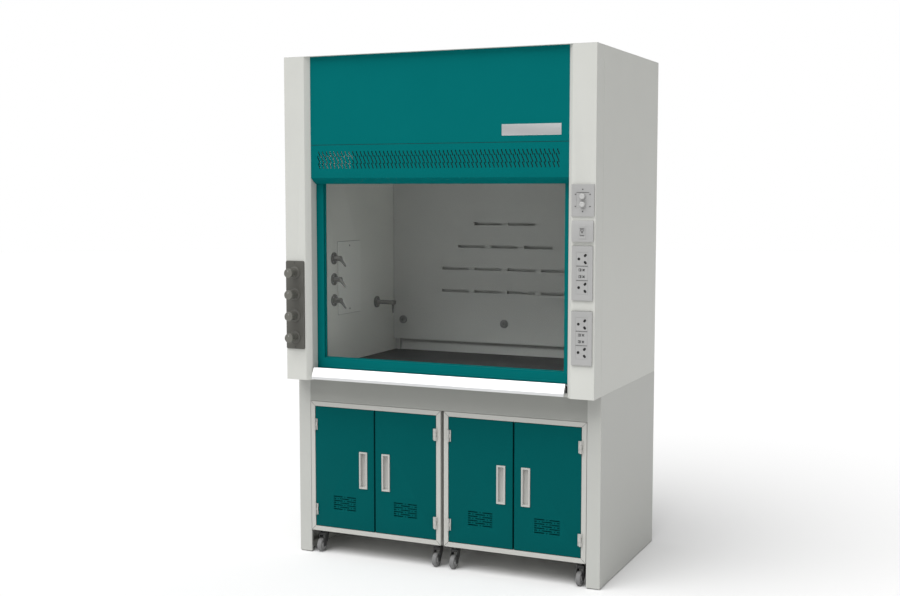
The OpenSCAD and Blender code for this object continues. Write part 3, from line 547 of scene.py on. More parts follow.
def ring_tree():
    """Copies of an item round a circle in X and Z, each turned outwards."""
    tree, w, given = gn_tree("Ring of copies", ("Item", "NodeSocketObject"),
                             ("Count", "NodeSocketInt"), ("Radius", "NodeSocketFloat"),
                             ("Centre", "NodeSocketVector"), ("Tilt", "NodeSocketVector"),
                             ("Material", "NodeSocketMaterial"))
    item = w.add("GeometryNodeObjectInfo", {"Object": given["Item"]})
    circle = w.add("GeometryNodeMeshCircle", {"Vertices": given["Count"],
                                              "Radius": given["Radius"]})
    number = w.add("GeometryNodeInputIndex").outputs[0]
    share = w.math("DIVIDE", number, given["Count"])
    angle = w.math("MULTIPLY", share, 2 * math.pi)
    turn = w.add("ShaderNodeCombineXYZ", {"Z": angle}).outputs[0]
    copies = w.add("GeometryNodeInstanceOnPoints", {
        "Points": circle.outputs[0], "Instance": item.outputs["Geometry"], "Rotation": turn})
    real = w.add("GeometryNodeRealizeInstances", {"Geometry": copies.outputs[0]})
    place = w.add("GeometryNodeTransform", {"Geometry": real.outputs[0],
                                            "Translation": given["Centre"],
                                            "Rotation": given["Tilt"]})
    return close_tree(tree, w, given, place.outputs[0])


def slotted_tree():
    """A sheet with rows of slots cut through it."""
    tree, w, given = gn_tree("Slotted sheet", ("Cutter", "NodeSocketObject"),
                             ("Places", "NodeSocketObject"), ("Material", "NodeSocketMaterial"))
    cutter = w.add("GeometryNodeObjectInfo", {"Object": given["Cutter"]})
    places = w.add("GeometryNodeObjectInfo", {"Object": given["Places"]})
    grow = w.add("GeometryNodeInputNamedAttribute", {"Name": "grow"}, data_type="FLOAT_VECTOR")
    cuts = w.add("GeometryNodeInstanceOnPoints", {
        "Points": places.outputs["Geometry"], "Instance": cutter.outputs["Geometry"],
        "Scale": grow.outputs["Attribute"]})
    real = w.add("GeometryNodeRealizeInstances", {"Geometry": cuts.outputs[0]})
    cut = w.add("GeometryNodeMeshBoolean",
                {"Mesh 1": given["Geometry"], "Mesh 2": real.outputs[0]},
                operation="DIFFERENCE", solver="EXACT")
    return close_tree(tree, w, given, cut.outputs[0])


def scratch(name, bm):
    """A helper object that is only there while a tree runs."""
    mesh = bpy.data.meshes.new(name)
    bm.to_mesh(mesh)
    bm.free()
    obj = bpy.data.objects.new(name, mesh)
    bpy.context.scene.collection.objects.link(obj)
    return obj


def points(spots, turn=None, grow=None):
    """A helper object with bare points that carry a turn or a scale."""
    bm = bmesh.new()
    for spot in spots:
        bm.verts.new(spot)
    obj = scratch("places", bm)
    for name, values in (("turn", turn), ("grow", grow)):
        if values is not None:
            if not isinstance(values[0], (tuple, Vector)):
                values = [values] * len(spots)
            layer = obj.data.attributes.new(name, "FLOAT_VECTOR", "POINT")
            layer.data.foreach_set("vector", [x for v in values for x in v])
    return obj


def run_tree(name, host, maker, tree_name, finishes, body, slot=None, smooth=20, replaces=(),
             **given):
    """Runs a tree on a helper object and keeps the result as a plain mesh piece."""
    tree = bpy.data.node_groups.get(tree_name) or maker()
    mod = host.modifiers.new("tree", "NODES")
    mod.node_group = tree
    given["Material"] = finish(finishes)
    for item in tree.interface.items_tree:
        if item.item_type == "SOCKET" and item.in_out == "INPUT" and item.name in given:
            mod[item.identifier] = given[item.name]
    host.update_tag()
    bpy.context.view_layer.update()
    seen = host.evaluated_get(bpy.context.evaluated_depsgraph_get())
    mesh = bpy.data.meshes.new_from_object(seen)
    host.modifiers.remove(mod)
    helpers = {host, *(v for v in given.values() if isinstance(v, bpy.types.Object))}
    if not len(mesh.polygons):
        raise RuntimeError(f"{name}: the tree {tree_name} gave no faces")
    mesh.name = name
    for layer in ("turn", "grow"):
        if layer in mesh.attributes:
            mesh.attributes.remove(mesh.attributes[layer])
    obj = dress(bpy.data.objects.new(name, mesh), finishes, body, replaces, smooth)
    for helper in helpers:
        bpy.data.objects.remove(helper)
    return obj


def screw_head(radius, rise, cross=0.55):
    """A domed head with a crossed recess, which faces -Y."""
    bm = bmesh.new()
    lathe(bm, [(0, rise), (radius * 0.42, rise * 0.97), (radius * 0.8, rise * 0.72),
               (radius, rise * 0.25), (radius, 0), (0, 0)], (0, 0, 0), (0, -1, 0), 14)
    arm, wide = radius * cross, radius * 0.13
    for across in (True, False):
        half = (arm, rise * 0.35, wide) if across else (wide, rise * 0.35, arm)
        brick(bm, (-half[0], -rise * 0.98 - half[1] * 0.3, -half[2]),
              (half[0], -rise * 0.55, half[2]))
    return scratch("screw_item", bm)


# ---------- small shapes ----------

def folded(path, thick):
    """The outline of a sheet that follows a path, with its thickness on the left."""
    def way(i):
        d = Vector(path[i + 1]) - Vector(path[i])
        return d.normalized()
    far = []
    for i in range(len(path)):
        a, b = way(max(i - 1, 0)), way(min(i, len(path) - 2))
        na, nb = Vector((-a.y, a.x)), Vector((-b.y, b.x))
        n = (na + nb).normalized()
        far.append(Vector(path[i]) + n * thick / n.dot(na))
    return [Vector(p) for p in path] + far[::-1]


def closed_run(bm, start, end, mat):
    """A solid between two like outlines."""
    a, b = [[bm.verts.new(p) for p in side] for side in (start, end)]
    made = [bm.faces.new(a), bm.faces.new(b[::-1])]
    for i in range(len(a)):
        j = (i + 1) % len(a)
        made.append(bm.faces.new((a[i], b[i], b[j], a[j])))
    for f in made:
        f.material_index = mat
    return made


def run_along_x(bm, outline, x0, x1, mat=0):
    """A solid with an outline in Y and Z that runs along X."""
    return closed_run(bm, [(x0, p[0], p[1]) for p in outline],
                      [(x1, p[0], p[1]) for p in outline], mat)


def along_y(bm, outline, y0, y1, mat=0):
    """A solid with an outline in X and Z that runs along Y."""
    return closed_run(bm, [(p[0], y0, p[1]) for p in outline],
                      [(p[0], y1, p[1]) for p in outline], mat)


def tube(bm, path, radius, sides=10, mat=0):
    """A round tube that follows points."""
    path = [Vector(p) for p in path]
    rings = []
    side = None
    for i, p in enumerate(path):
        d = (path[min(i + 1, len(path) - 1)] - path[max(i - 1, 0)]).normalized()
        if side is None:
            side = d.orthogonal().normalized()
        side = (side - d * side.dot(d)).normalized()
        other = d.cross(side)
        r = radius[i] if isinstance(radius, (list, tuple)) else radius
        rings.append([bm.verts.new(p + (side * math.cos(a) + other * math.sin(a)) * r)
                      for a in (2 * math.pi * k / sides for k in range(sides))])
    made = []
    for a, b in zip(rings, rings[1:]):
        for i in range(sides):
            j = (i + 1) % sides
            made.append(bm.faces.new((a[i], a[j], b[j], b[i])))
    made += [bm.faces.new(rings[0][::-1]), bm.faces.new(rings[-1])]
    for f in made:
        f.material_index = mat


# ---------- operators ----------

class HOOD_OT_stage(bpy.types.Operator):
    """Set up the camera, the soft lights and the pale floor"""
    bl_idname = "hood.stage"
    bl_label = "Stage"

    def execute(self, context):
        scene = context.scene
        eye = bpy.data.cameras.new("camera")
        eye.lens, eye.sensor_width = 50.711, 36.0
        eye.clip_start, eye.clip_end = 0.05, 100
        camera = bpy.data.objects.new("camera", eye)
        scene.collection.objects.link(camera)
        turn, dip = 0.4247, -0.0863
        ahead = Vector((-math.sin(turn) * math.cos(dip), math.cos(turn) * math.cos(dip),
                        math.sin(dip)))
        camera.location = (2.37079, -5.49503, 1.73707)
        camera.rotation_mode = "QUATERNION"
        camera.rotation_quaternion = ahead.to_track_quat("-Z", "Y")
        scene.camera = camera

        bm = bmesh.new()
        steps = 64
        rings = [[bm.verts.new((r * math.cos(a), r * math.sin(a), 0.0)) for a in (
            2 * math.pi * i / steps for i in range(steps))] for r in (1.5, 4, 9, 30)]
        bm.faces.new(rings[0])
        for a, b in zip(rings, rings[1:]):
            for i in range(steps):
                j = (i + 1) % steps
                bm.faces.new((a[i], b[i], b[j], a[j]))
        mesh = bpy.data.meshes.new("floor")
        bmesh.ops.recalc_face_normals(bm, faces=bm.faces)
        bm.to_mesh(mesh)
        bm.free()
        floor = bpy.data.objects.new("floor", mesh)
        scene.collection.objects.link(floor)
        mat = bpy.data.materials.new("pale floor")
        mat.use_nodes = True
        shader = mat.node_tree.nodes["Principled BSDF"]
        shader.inputs["Base Color"].default_value = (0.86, 0.86, 0.86, 1)
        shader.inputs["Roughness"].default_value = 1.0
        shader.inputs["Specular IOR Level"].default_value = 0.0
        mesh.materials.append(mat)

        world = bpy.data.worlds.new("soft room")
        world.use_nodes = True
        w = Wiring(world.node_tree)
        room = world.node_tree.nodes["Background"]
        room.inputs["Color"].default_value = (1, 1, 1, 1)
        room_light, backdrop_light = 0.42, 1.0
        room.inputs["Strength"].default_value = room_light
        behind = w.add("ShaderNodeBackground",
                       {"Color": (1, 1, 1, 1), "Strength": backdrop_light})
        seen = w.add("ShaderNodeLightPath").outputs["Is Camera Ray"]
        both = w.add("ShaderNodeMixShader", {0: seen, 1: room.outputs[0], 2: behind.outputs[0]})
        world.node_tree.links.new(both.outputs[0],
                                  world.node_tree.nodes["World Output"].inputs[0])
        scene.world = world
        scene.view_settings.view_transform = "Standard"
        lamp = bpy.data.lights.new("key", "SUN")
        lamp.energy, lamp.angle = 2.75, math.radians(60)
        key = bpy.data.objects.new("key", lamp)
        key.rotation_mode = "QUATERNION"
        key.rotation_quaternion = Vector((0.16, 0.40, -0.8)).to_track_quat("-Z", "Y")
        scene.collection.objects.link(key)
        return {"FINISHED"}


class HOOD_OT_panels(bpy.types.Operator):
    """Fold the posts, side panels, roof, upper fascia and back of the enclosure"""
    bl_idname = "hood.panels"
    bl_label = "Enclosure panels"

    def execute(self, context):
        sizes = context.scene.hood_sizes
        for node in ("side_panels", "left_post", "right_post"):
            soften(node, "white coat", width=sizes.edge_round)
        soften("upper_fascia", "teal coat", width=sizes.edge_round)
        soften("roof_panel", "white coat", width=0.4 * MM)
        back_lo, back_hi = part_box("back_panel")
        bm = bmesh.new()
        brick(bm, (back_lo.x, back_lo.y, back_lo.z), (back_hi.x, back_hi.y - 0.7 * MM, back_hi.z))
        round_edges(bm, 0.3 * MM, 1)
        piece("back_panel_shell", bm, "white coat", ROOT, "back_panel")
        spots = []
        for i in range(9):
            z = back_lo.z + 0.03 + (back_hi.z - back_lo.z - 0.06) * i / 8
            spots += [(s * (back_hi.x - 0.012), back_hi.y - 0.7 * MM, z) for s in (-1, 1)]
        for i in range(1, 8):
            x = back_lo.x + (back_hi.x - back_lo.x) * i / 8
            spots += [(x, back_hi.y - 0.7 * MM, z) for z in (back_lo.z + 0.012, back_hi.z - 0.012)]
        run_tree("back_screws", points(spots, (0, 0, math.pi)), copies_tree, "Copies on points",
                 "zinc steel", ROOT, "steel", Item=screw_head(3.6 * MM, 0.65 * MM), Size=1.0)
        return {"FINISHED"}


class HOOD_OT_lower_fascia(bpy.types.Operator):
    """Fold the lower fascia and cut its three rows of leaning vent slots"""
    bl_idname = "hood.lower_fascia"
    bl_label = "Lower fascia"

    def execute(self, context):
        sizes = context.scene.hood_sizes
        lo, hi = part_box("lower_fascia")
        thick = 1.5 * MM
        slope = 27 * MM
        path = [(lo.y + 15 * MM, hi.z), (lo.y, hi.z), (lo.y, lo.z + slope),
                (lo.y + 40 * MM, lo.z), (lo.y + 40 * MM, lo.z + 14 * MM)]
        bm = bmesh.new()
        run_along_x(bm, folded(path, thick), lo.x, hi.x)
        tidy(bm)
        round_edges(bm, 0.5 * MM, 2)
        bmesh.ops.triangulate(bm, faces=[f for f in bm.faces if len(f.verts) > 4])
        sheet = scratch("fascia_sheet", bm)
        count = int((hi.x - lo.x - 70 * MM) / sizes.slot_step)
        first = -count * sizes.slot_step / 2
        top = hi.z + 1 * MM - 31 * MM
        lean = math.tan(sizes.slot_lean)
        for row, (shift, z0, z1) in enumerate(((5, 22, 0), (0, 55, 20), (4, 76, 53.5))):
            z0, z1 = top - z0 * MM, top - z1 * MM
            tall = z1 - z0
            # a centre line that starts upright, leans, and ends upright again
            line = []
            for i in range(9):
                t = i / 8
                line.append(Vector((lean * tall * (t * t * (3 - 2 * t)), 0, -t * tall)))
            half = sizes.slot_width / 2
            left, right = [], []
            for i, p in enumerate(line):
                d = (line[min(i + 1, 8)] - line[max(i - 1, 0)]).normalized()
                n = Vector((-d.z, 0, d.x))
                left.append(p + n * half)
                right.append(p - n * half)
            caps = [line[-1] + Vector((half * 0.7, 0, -half * 0.5)),
                    line[-1] + Vector((0, 0, -half * 0.75)),
                    line[-1] + Vector((-half * 0.7, 0, -half * 0.5))]
            heads = [line[0] + Vector((-half * 0.7, 0, half * 0.5)),
                     line[0] + Vector((0, 0, half * 0.75)),
                     line[0] + Vector((half * 0.7, 0, half * 0.5))]
            if left[4].x < right[4].x:
                left, right = right, left
            outline = left + caps + right[::-1] + heads
            bm = bmesh.new()
            along_y(bm, [(p.x, p.z) for p in outline], -4 * MM, 4 * MM)
            tidy(bm)
            cutter = scratch("slot", bm)
            places = points([(first + i * sizes.slot_step + shift * MM, lo.y + thick / 2, z1)
                             for i in range(count)], None, (1, 1, 1))
            last = row == 2
            sheet = run_tree("lower_fascia_shell" if last else "fascia_stage", sheet,
                             slotted_tree, "Slotted sheet", "teal coat", ROOT if last else None,
                             "teal_paint" if last else None,
                             replaces="lower_fascia" if last else (), Cutter=cutter,
                             Places=places)
        # A near-black sheet behind the right-hand vent slots, as painted shade in the slots.
        bm = bmesh.new()
        brick(bm, (lo.x + 215 * MM, lo.y + 5 * MM, top - 84 * MM),
              (hi.x - 12 * MM, lo.y + 7 * MM, top + 4 * MM))
        round_edges(bm, 0.5 * MM, 2)
        piece("vent_felt", bm, "vent felt", ROOT, ())
        # A dark strip behind the seam of the two fasciae, as painted shade along the seam.
        bm = bmesh.new()
        brick(bm, (lo.x + 1 * MM, lo.y + 1.2 * MM, hi.z - 0.5 * MM),
              (hi.x - 1 * MM, lo.y + 6 * MM, low("upper_fascia").z + 0.5 * MM))
        round_edges(bm, 0.1 * MM, 1)
        piece("fascia_seam_gasket", bm, "vent felt", ROOT, ())
        return {"FINISHED"}


class HOOD_OT_badge(bpy.types.Operator):
    """Fit the blank badge plate with its raised rim"""
    bl_idname = "hood.badge"
    bl_label = "Badge plate"

    def execute(self, context):
        lo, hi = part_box("badge_plate")
        bm = bmesh.new()
        brick(bm, (lo.x, lo.y + 0.5 * MM, lo.z), hi)
        front = min(bm.faces, key=lambda f: f.calc_center_median().y)
        bmesh.ops.inset_region(bm, faces=[front], thickness=1.6 * MM, depth=0)
        rim = [f for f in bm.faces if f.normal.y < -0.9 and f is not front]
        ends = {v for f in rim for v in f.verts if v.co.x in (lo.x, hi.x)}
        bmesh.ops.translate(bm, verts=list(ends), vec=(0, -0.3 * MM, 0))
        bmesh.ops.inset_region(bm, faces=[front], thickness=0.8 * MM, depth=-0.2 * MM)
        round_edges(bm, 0.15 * MM, 1)
        piece("badge_shell", tidy(bm), "satin badge", ROOT, "badge_plate")
        mid = (lo + hi) / 2
        spots = [(x, lo.y + 0.6 * MM, mid.z) for x in (lo.x + 9 * MM, hi.x - 9 * MM)]
        run_tree("badge_rivets", points(spots, (0, 0, 0)), copies_tree, "Copies on points",
                 "zinc steel", ROOT, "steel", Item=screw_head(2.6 * MM, 0.6 * MM, 0), Size=1.0)
        return {"FINISHED"}


class HOOD_OT_collar(bpy.types.Operator):
    """Turn the exhaust collar with its rolled bead and flange screws"""
    bl_idname = "hood.collar"
    bl_label = "Exhaust collar"

    def execute(self, context):
        lo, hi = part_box("exhaust_collar")
        flange_r = (hi.x - lo.x) / 2
        r = flange_r - 22 * MM
        roof = high("roof_panel").z
        mid = (lo + hi) / 2
        top, low_end = hi.z - roof, lo.z - roof
        outline = [(r - 2 * MM, low_end), (r, low_end), (r, 0), (flange_r - 0.4 * MM, 0),
                   (flange_r, 0.5 * MM), (flange_r, 2.5 * MM), (flange_r - 0.5 * MM, 3 * MM),
                   (r + 1.6 * MM, 3 * MM), (r + 0.5 * MM, 3.5 * MM), (r, 5 * MM),
                   (r, top * 0.58), (r - 1.2 * MM, top * 0.62), (r - 1.6 * MM, top * 0.66),
                   (r - 1.2 * MM, top * 0.7), (r, top * 0.74), (r, top - 0.8 * MM),
                   (r - 0.6 * MM, top), (r - 1.4 * MM, top), (r - 2 * MM, top - 0.8 * MM),
                   (r - 2 * MM, top * 0.76), (r - 3.4 * MM, top * 0.66), (r - 2 * MM, top * 0.56),
                   (r - 2 * MM, low_end)]
        bm = bmesh.new()
        lathe(bm, outline, (mid.x, mid.y, roof), (0, 0, 1), 96)
        piece("collar_shell", tidy(bm), "zinc steel", ROOT, "exhaust_collar", 40)
        spots = [(mid.x + (r + 13 * MM) * math.cos(a), mid.y + (r + 13 * MM) * math.sin(a),
                  roof + 2.9 * MM) for a in (2 * math.pi * (i + 0.5) / 8 for i in range(8))]
        run_tree("collar_screws", points(spots, (-math.pi / 2, 0, 0)), copies_tree,
                 "Copies on points", "zinc steel", ROOT, "steel",
                 Item=screw_head(4.2 * MM, 2.2 * MM), Size=1.0)
        return {"FINISHED"}


class HOOD_OT_lining(bpy.types.Operator):
    """Line the chamber with boards and hang the slotted baffle with its round fasteners"""
    bl_idname = "hood.lining"
    bl_label = "Chamber lining"

    def seam_cover(self):
        """A thin strip that closes the seam between the two baffle boards."""
        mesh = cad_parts["baffle_panels"].data
        face, row = fastener_row()
        level = sorted({round(v.co.z, 5) for v in mesh.vertices
                        if abs(v.co.y - face) < 1 * MM and v.co.z > row + 0.03})
        lo, hi = level[0], level[1]
        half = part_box("baffle_panels")[1].x
        bm = bmesh.new()
        brick(bm, (-half + 0.5 * MM, face + 0.02 * MM, lo - 0.02 * MM),
              (half - 0.5 * MM, face + 2 * MM, hi + 0.02 * MM))
        round_edges(bm, 0.01 * MM, 1)
        piece("baffle_seam_strip", bm, "lining board", ROOT, ())

    def panel_shade_strips(self):
        """A dark strip of painted shade round each access panel, thinner than the panel itself."""
        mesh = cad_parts["access_panels"].data
        for side, name in ((-1, "left"), (1, "right")):
            own = [v.co for v in mesh.vertices if v.co.x * side > 0]
            wall = max(c.x * side for c in own)
            edge = 1.6 * MM
            y0, y1 = min(c.y for c in own) - edge, max(c.y for c in own) + edge
            z0, z1 = min(c.z for c in own) - edge, max(c.z for c in own) + edge
            near, far = sorted((side * wall, side * (wall - 0.7 * MM)))
            bm = bmesh.new()
            brick(bm, (near, y0, z0), (far, y1, z1))
            round_edges(bm, 0.2 * MM, 1)
            piece(name + "_panel_gasket", bm, "fastener grey", ROOT, ())

    def execute(self, context):
        for node, look, width in (("side_liners", "wall board", 0.6),
                                  ("back_liner", "lining board", 0.6),
                                  ("ceiling_liner", "lining board", 0.5),
                                  ("baffle_panels", "lining board", 0)):
            soften(node, look, width=width * MM)
        soften("access_panels", "panel board", width=0.8 * MM)
        self.panel_shade_strips()
        self.seam_cover()
        lo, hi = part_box("fasteners")
        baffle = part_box("baffle_panels")
        inner = high("upper_fascia").x
        face, knob_z = fastener_row()
        bm = bmesh.new()
        for x in (-inner + 58 * MM, 0, inner - 58 * MM):
            lathe(bm, mm((0, 11.2), (6, 11.4), (8, 12), (10, 12), (11, 11), (12, 9.2), (19, 8.4),
                         (20.6, 7.2), (21, 5.8), (21, 1.2), (20.2, 0.4), (17, 0), (0, 0)),
                  (x, face, knob_z), (0, -1, 0), 40)
            lathe(bm, mm((0, 11.1), (3.4, 11.1), (3.4, 11.9), (0, 11.9)),
                  (x, face, knob_z), (0, -1, 0), 20, 1)
        piece("baffle_fasteners", tidy(bm), ["fastener grey", "mark grey"], ROOT, "fasteners",
              35)
        for n, x in enumerate((-inner + 58 * MM, 0, inner - 58 * MM)):
            bm = bmesh.new()
            brick(bm, (-0.8 * MM, -1.1 * MM, 1.4 * MM), (0.5 * MM, 1.1 * MM, 5.6 * MM))
            round_edges(bm, 0.4 * MM, 1)
            run_tree(f"fastener_ribs_{n + 1}", scratch("host", bmesh.new()), ring_tree,
                     "Ring of copies", "fastener grey", ROOT, "steel",
                     Item=scratch("rib_item", bm), Count=16, Radius=20.9 * MM,
                     Centre=(x, face, knob_z), Tilt=(math.pi / 2, 0, 0))
        return {"FINISHED"}


def fastener_row():
    """Depth and height of the round fasteners' row on the baffle."""
    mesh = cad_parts["fasteners"].data
    back = max(v.co.y for v in mesh.vertices)
    zs = [v.co.z for v in mesh.vertices if v.co.y > back - 0.02]
    return back, (min(zs) + max(zs)) / 2


class HOOD_OT_worktop(bpy.types.Operator):
    """Lay the worktop slab and the bright airfoil sill in front of it"""
    bl_idname = "hood.worktop"
    bl_label = "Worktop and sill"

    def execute(self, context):
        soften("worktop", "black worktop", width=2.0 * MM, segments=3)
        soften("airfoil_sill", "bright steel", width=0.8 * MM, segments=2)
        return {"FINISHED"}


class HOOD_OT_sash(bpy.types.Operator):
    """Frame and glaze the sash, with its gaskets, guide pads and grip strip"""
    bl_idname = "hood.sash"
    bl_label = "Sash"

    def execute(self, context):
        sizes = context.scene.hood_sizes
        lo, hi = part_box("sash_frame")
        glass_lo, glass_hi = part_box("sash_glass")
        pad = 5 * MM
        front, back = lo.y + 1.6 * MM, lo.y + 1.6 * MM + 24 * MM

        def sort(c, n):
            if abs(c.x) > hi.x - pad - 0.3 * MM or c.y < front - 0.2 * MM:
                return 1
            if c.y > back + 0.2 * MM:
                return 1 if c.y < back + 2 * MM and abs(c.x) > hi.x - 14 * MM else 2
            return 0

        soften("sash_frame", ["teal coat", "black rubber", "zinc steel"], "sash", 0.7 * MM,
               sort=sort)
        bm = bmesh.new()
        brick(bm, glass_lo, glass_hi)
        round_edges(bm, 0.6 * MM, 1)
        piece("sash_pane", bm, "sash glass", "sash", "sash_glass")
        edge = 7.5 * MM
        x, z0, z1 = glass_hi.x - edge, glass_lo.z + edge, glass_hi.z - edge
        w = sizes.gasket
        bm = bmesh.new()
        for y_out, y_in in ((glass_lo.y - 2.2 * MM, glass_lo.y - 0.02 * MM),
                            (glass_hi.y + 2.2 * MM, glass_hi.y + 0.02 * MM)):
            loops = []
            for inset, y in ((-0.2 * MM, y_in), (-0.2 * MM, y_out), (w * 0.5, y_out),
                             (w, (y_out + y_in * 2) / 3), (w, y_in)):
                loops.append([bm.verts.new(c) for c in (
                    (-x + inset, y, z0 + inset), (x - inset, y, z0 + inset),
                    (x - inset, y, z1 - inset), (-x + inset, y, z1 - inset))])
            for a, b in zip(loops, loops[1:] + loops[:1]):
                for i in range(4):
                    j = (i + 1) % 4
                    bm.faces.new((a[i], a[j], b[j], b[i]))
        piece("sash_gaskets", tidy(bm), "teal coat", "sash", (), 40)
        bm = bmesh.new()
        z = lo.z + 7 * MM
        half = (hi.x - 30 * MM)
        path = [(front + 0.4 * MM, z - 3.2 * MM), (front - 0.7 * MM, z - 2.6 * MM),
                (front - 0.9 * MM, z), (front - 0.7 * MM, z + 2.6 * MM),
                (front + 0.4 * MM, z + 3.2 * MM)]
        run_along_x(bm, path, -half, half)
        tidy(bm)
        round_edges(bm, 0.2 * MM, 1)
        piece("sash_grip_strip", bm, "teal coat", "sash", ())
        return {"FINISHED"}


class HOOD_OT_balance(bpy.types.Operator):
    """Fit the tracks, the drum shaft, its bearings, the cables and the stacked weights"""
    bl_idname = "hood.balance"
    bl_label = "Sash balance"

    def execute(self, context):
        sizes = context.scene.hood_sizes
        soften("sash_tracks", "zinc steel", width=0.5 * MM)
        soften("shaft_bearings", "cast iron", width=1.2 * MM, segments=3)
        soften("drum_shaft", "zinc steel", "drums", 0.3 * MM, 1)
        lo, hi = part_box("counterweights")
        step = (hi.z - lo.z) / sizes.weight_slabs
        width = 50 * MM
        bm = bmesh.new()
        brick(bm, (hi.x - width, lo.y, lo.z), (hi.x, hi.y, lo.z + step - 0.6 * MM))
        brick(bm, (lo.x, lo.y, lo.z), (lo.x + width, hi.y, lo.z + step - 0.6 * MM))
        round_edges(bm, 2.0 * MM, 2)
        for side in (-1, 1):
            x = side * (hi.x - width / 2)
            lathe(bm, [(0, -0.3 * MM), (9 * MM, -0.3 * MM), (9 * MM, step - 0.1 * MM),
                       (0, step - 0.1 * MM)], (x, (lo.y + hi.y) / 2, lo.z), (0, 0, 1), 12)
        run_tree("weight_stacks", scratch("host", bmesh.new()), row_tree, "Row of copies",
                 "cast iron", "weights", "cast_weight", replaces="counterweights",
                 Item=scratch("slab_item", bm), Count=sizes.weight_slabs, Start=(0, 0, 0),
                 Step=(0, 0, step))
        wind_cables()
        return {"FINISHED"}


def wind_cables():
    """Straight runs of cable down from the drums, and the turns on the drums."""
    a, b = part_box("drum_shaft")
    drum_y, drum_z = (a.y + b.y) / 2, (a.z + b.z) / 2
    wire = 1.5 * MM
    drums = []
    for node in ("sash_cables", "weight_cables"):
        a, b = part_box(node)
        x, y = b.x - wire, (a.y + b.y) / 2
        drums.append((x, abs(y - drum_y)))
        bm = bmesh.new()
        for side in (-1, 1):
            tube(bm, [(side * x, y, drum_z + (a.z - drum_z) * i / 40) for i in range(41)],
                 wire, 10)
        obj = piece(node[:-1] + "_runs", tidy(bm, 1e-7), "wire rope", None, node, 60)
        if node == "sash_cables":
            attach(obj, ROOT)
            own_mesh(obj)
        else:
            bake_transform(obj)
    bm = bmesh.new()
    for x, r in drums:
        for side in (-1, 1):
            tube(bm, [(side * x + (k / 72 - 0.5) * 3.1 * MM,
                       drum_y + r * math.cos(k * math.pi / 18),
                       drum_z + r * math.sin(k * math.pi / 18)) for k in range(69)], wire, 8)
    piece("drum_windings", tidy(bm, 1e-7), "wire rope", "drums", (), 60)


class HOOD_OT_lamp(bpy.types.Operator):
    """Fit the lamp housing over the ceiling with its tube and frosted window"""
    bl_idname = "hood.lamp"
    bl_label = "Chamber lamp"

    def execute(self, context):
        soften("lamp_housing", "white coat", width=0.6 * MM)
        lo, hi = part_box("lamp_window")
        bm = bmesh.new()
        brick(bm, lo, hi)
        round_edges(bm, 0.8 * MM, 2)
        piece("lamp_pane", bm, "lamp diffuser", ROOT, "lamp_window")
        mid = (lo + hi) / 2
        z = hi.z + 30 * MM
        half = (hi.x - lo.x) / 2 - 22 * MM
        bm = bmesh.new()
        lathe(bm, [(0, -half), (6 * MM, -half), (12 * MM, -half + 1 * MM),
                   (13 * MM, -half + 3 * MM), (13 * MM, -half + 20 * MM),
                   (12 * MM, -half + 21 * MM)],
              (mid.x, mid.y, z), (1, 0, 0), 24, 1)
        lathe(bm, [(12 * MM, -half + 21 * MM), (12 * MM, half - 21 * MM)], (mid.x, mid.y, z),
              (1, 0, 0), 24, 0)
        lathe(bm, [(12 * MM, half - 21 * MM), (13 * MM, half - 20 * MM), (13 * MM, half - 3 * MM),
                   (12 * MM, half - 1 * MM), (6 * MM, half), (0, half)],
              (mid.x, mid.y, z), (1, 0, 0), 24, 1)
        for side in (-1, 1):
            brick(bm, (mid.x + side * half - 9 * MM, mid.y - 12 * MM, z + 6 * MM),
                  (mid.x + side * half + 9 * MM, mid.y + 12 * MM, z + 37 * MM), 1)
        piece("lamp_tube", tidy(bm), ["lamp white", "pale plastic"], ROOT, (), 40)
        return {"FINISHED"}


def rounded(x0, x1, z0, z1, r, steps=5):
    """Corner points of a rectangle with rounded corners, in X and Z."""
    out = []
    for cx, cz, start in ((x1 - r, z1 - r, 0), (x0 + r, z1 - r, 90), (x0 + r, z0 + r, 180),
                          (x1 - r, z0 + r, 270)):
        for i in range(steps + 1):
            a = math.radians(start + 90 * i / steps)
            out.append((cx + r * math.cos(a), cz + r * math.sin(a)))
    return out


def stack(bm, loops, mat=0, cap=(True, True)):
    """Joins loops of equal length, each (points in X and Z, y), into a closed skin."""
    rings = [[bm.verts.new((p[0], y, p[1])) for p in pts] for pts, y in loops]
    made = []
    for a, b in zip(rings, rings[1:]):
        for i in range(len(a)):
            j = (i + 1) % len(a)
            made.append(bm.faces.new((a[i], a[j], b[j], b[i])))
    if cap[0]:
        made.append(bm.faces.new(rings[0][::-1]))
    if cap[1]:
        made.append(bm.faces.new(rings[-1]))
    for f in made:
        f.material_index = mat


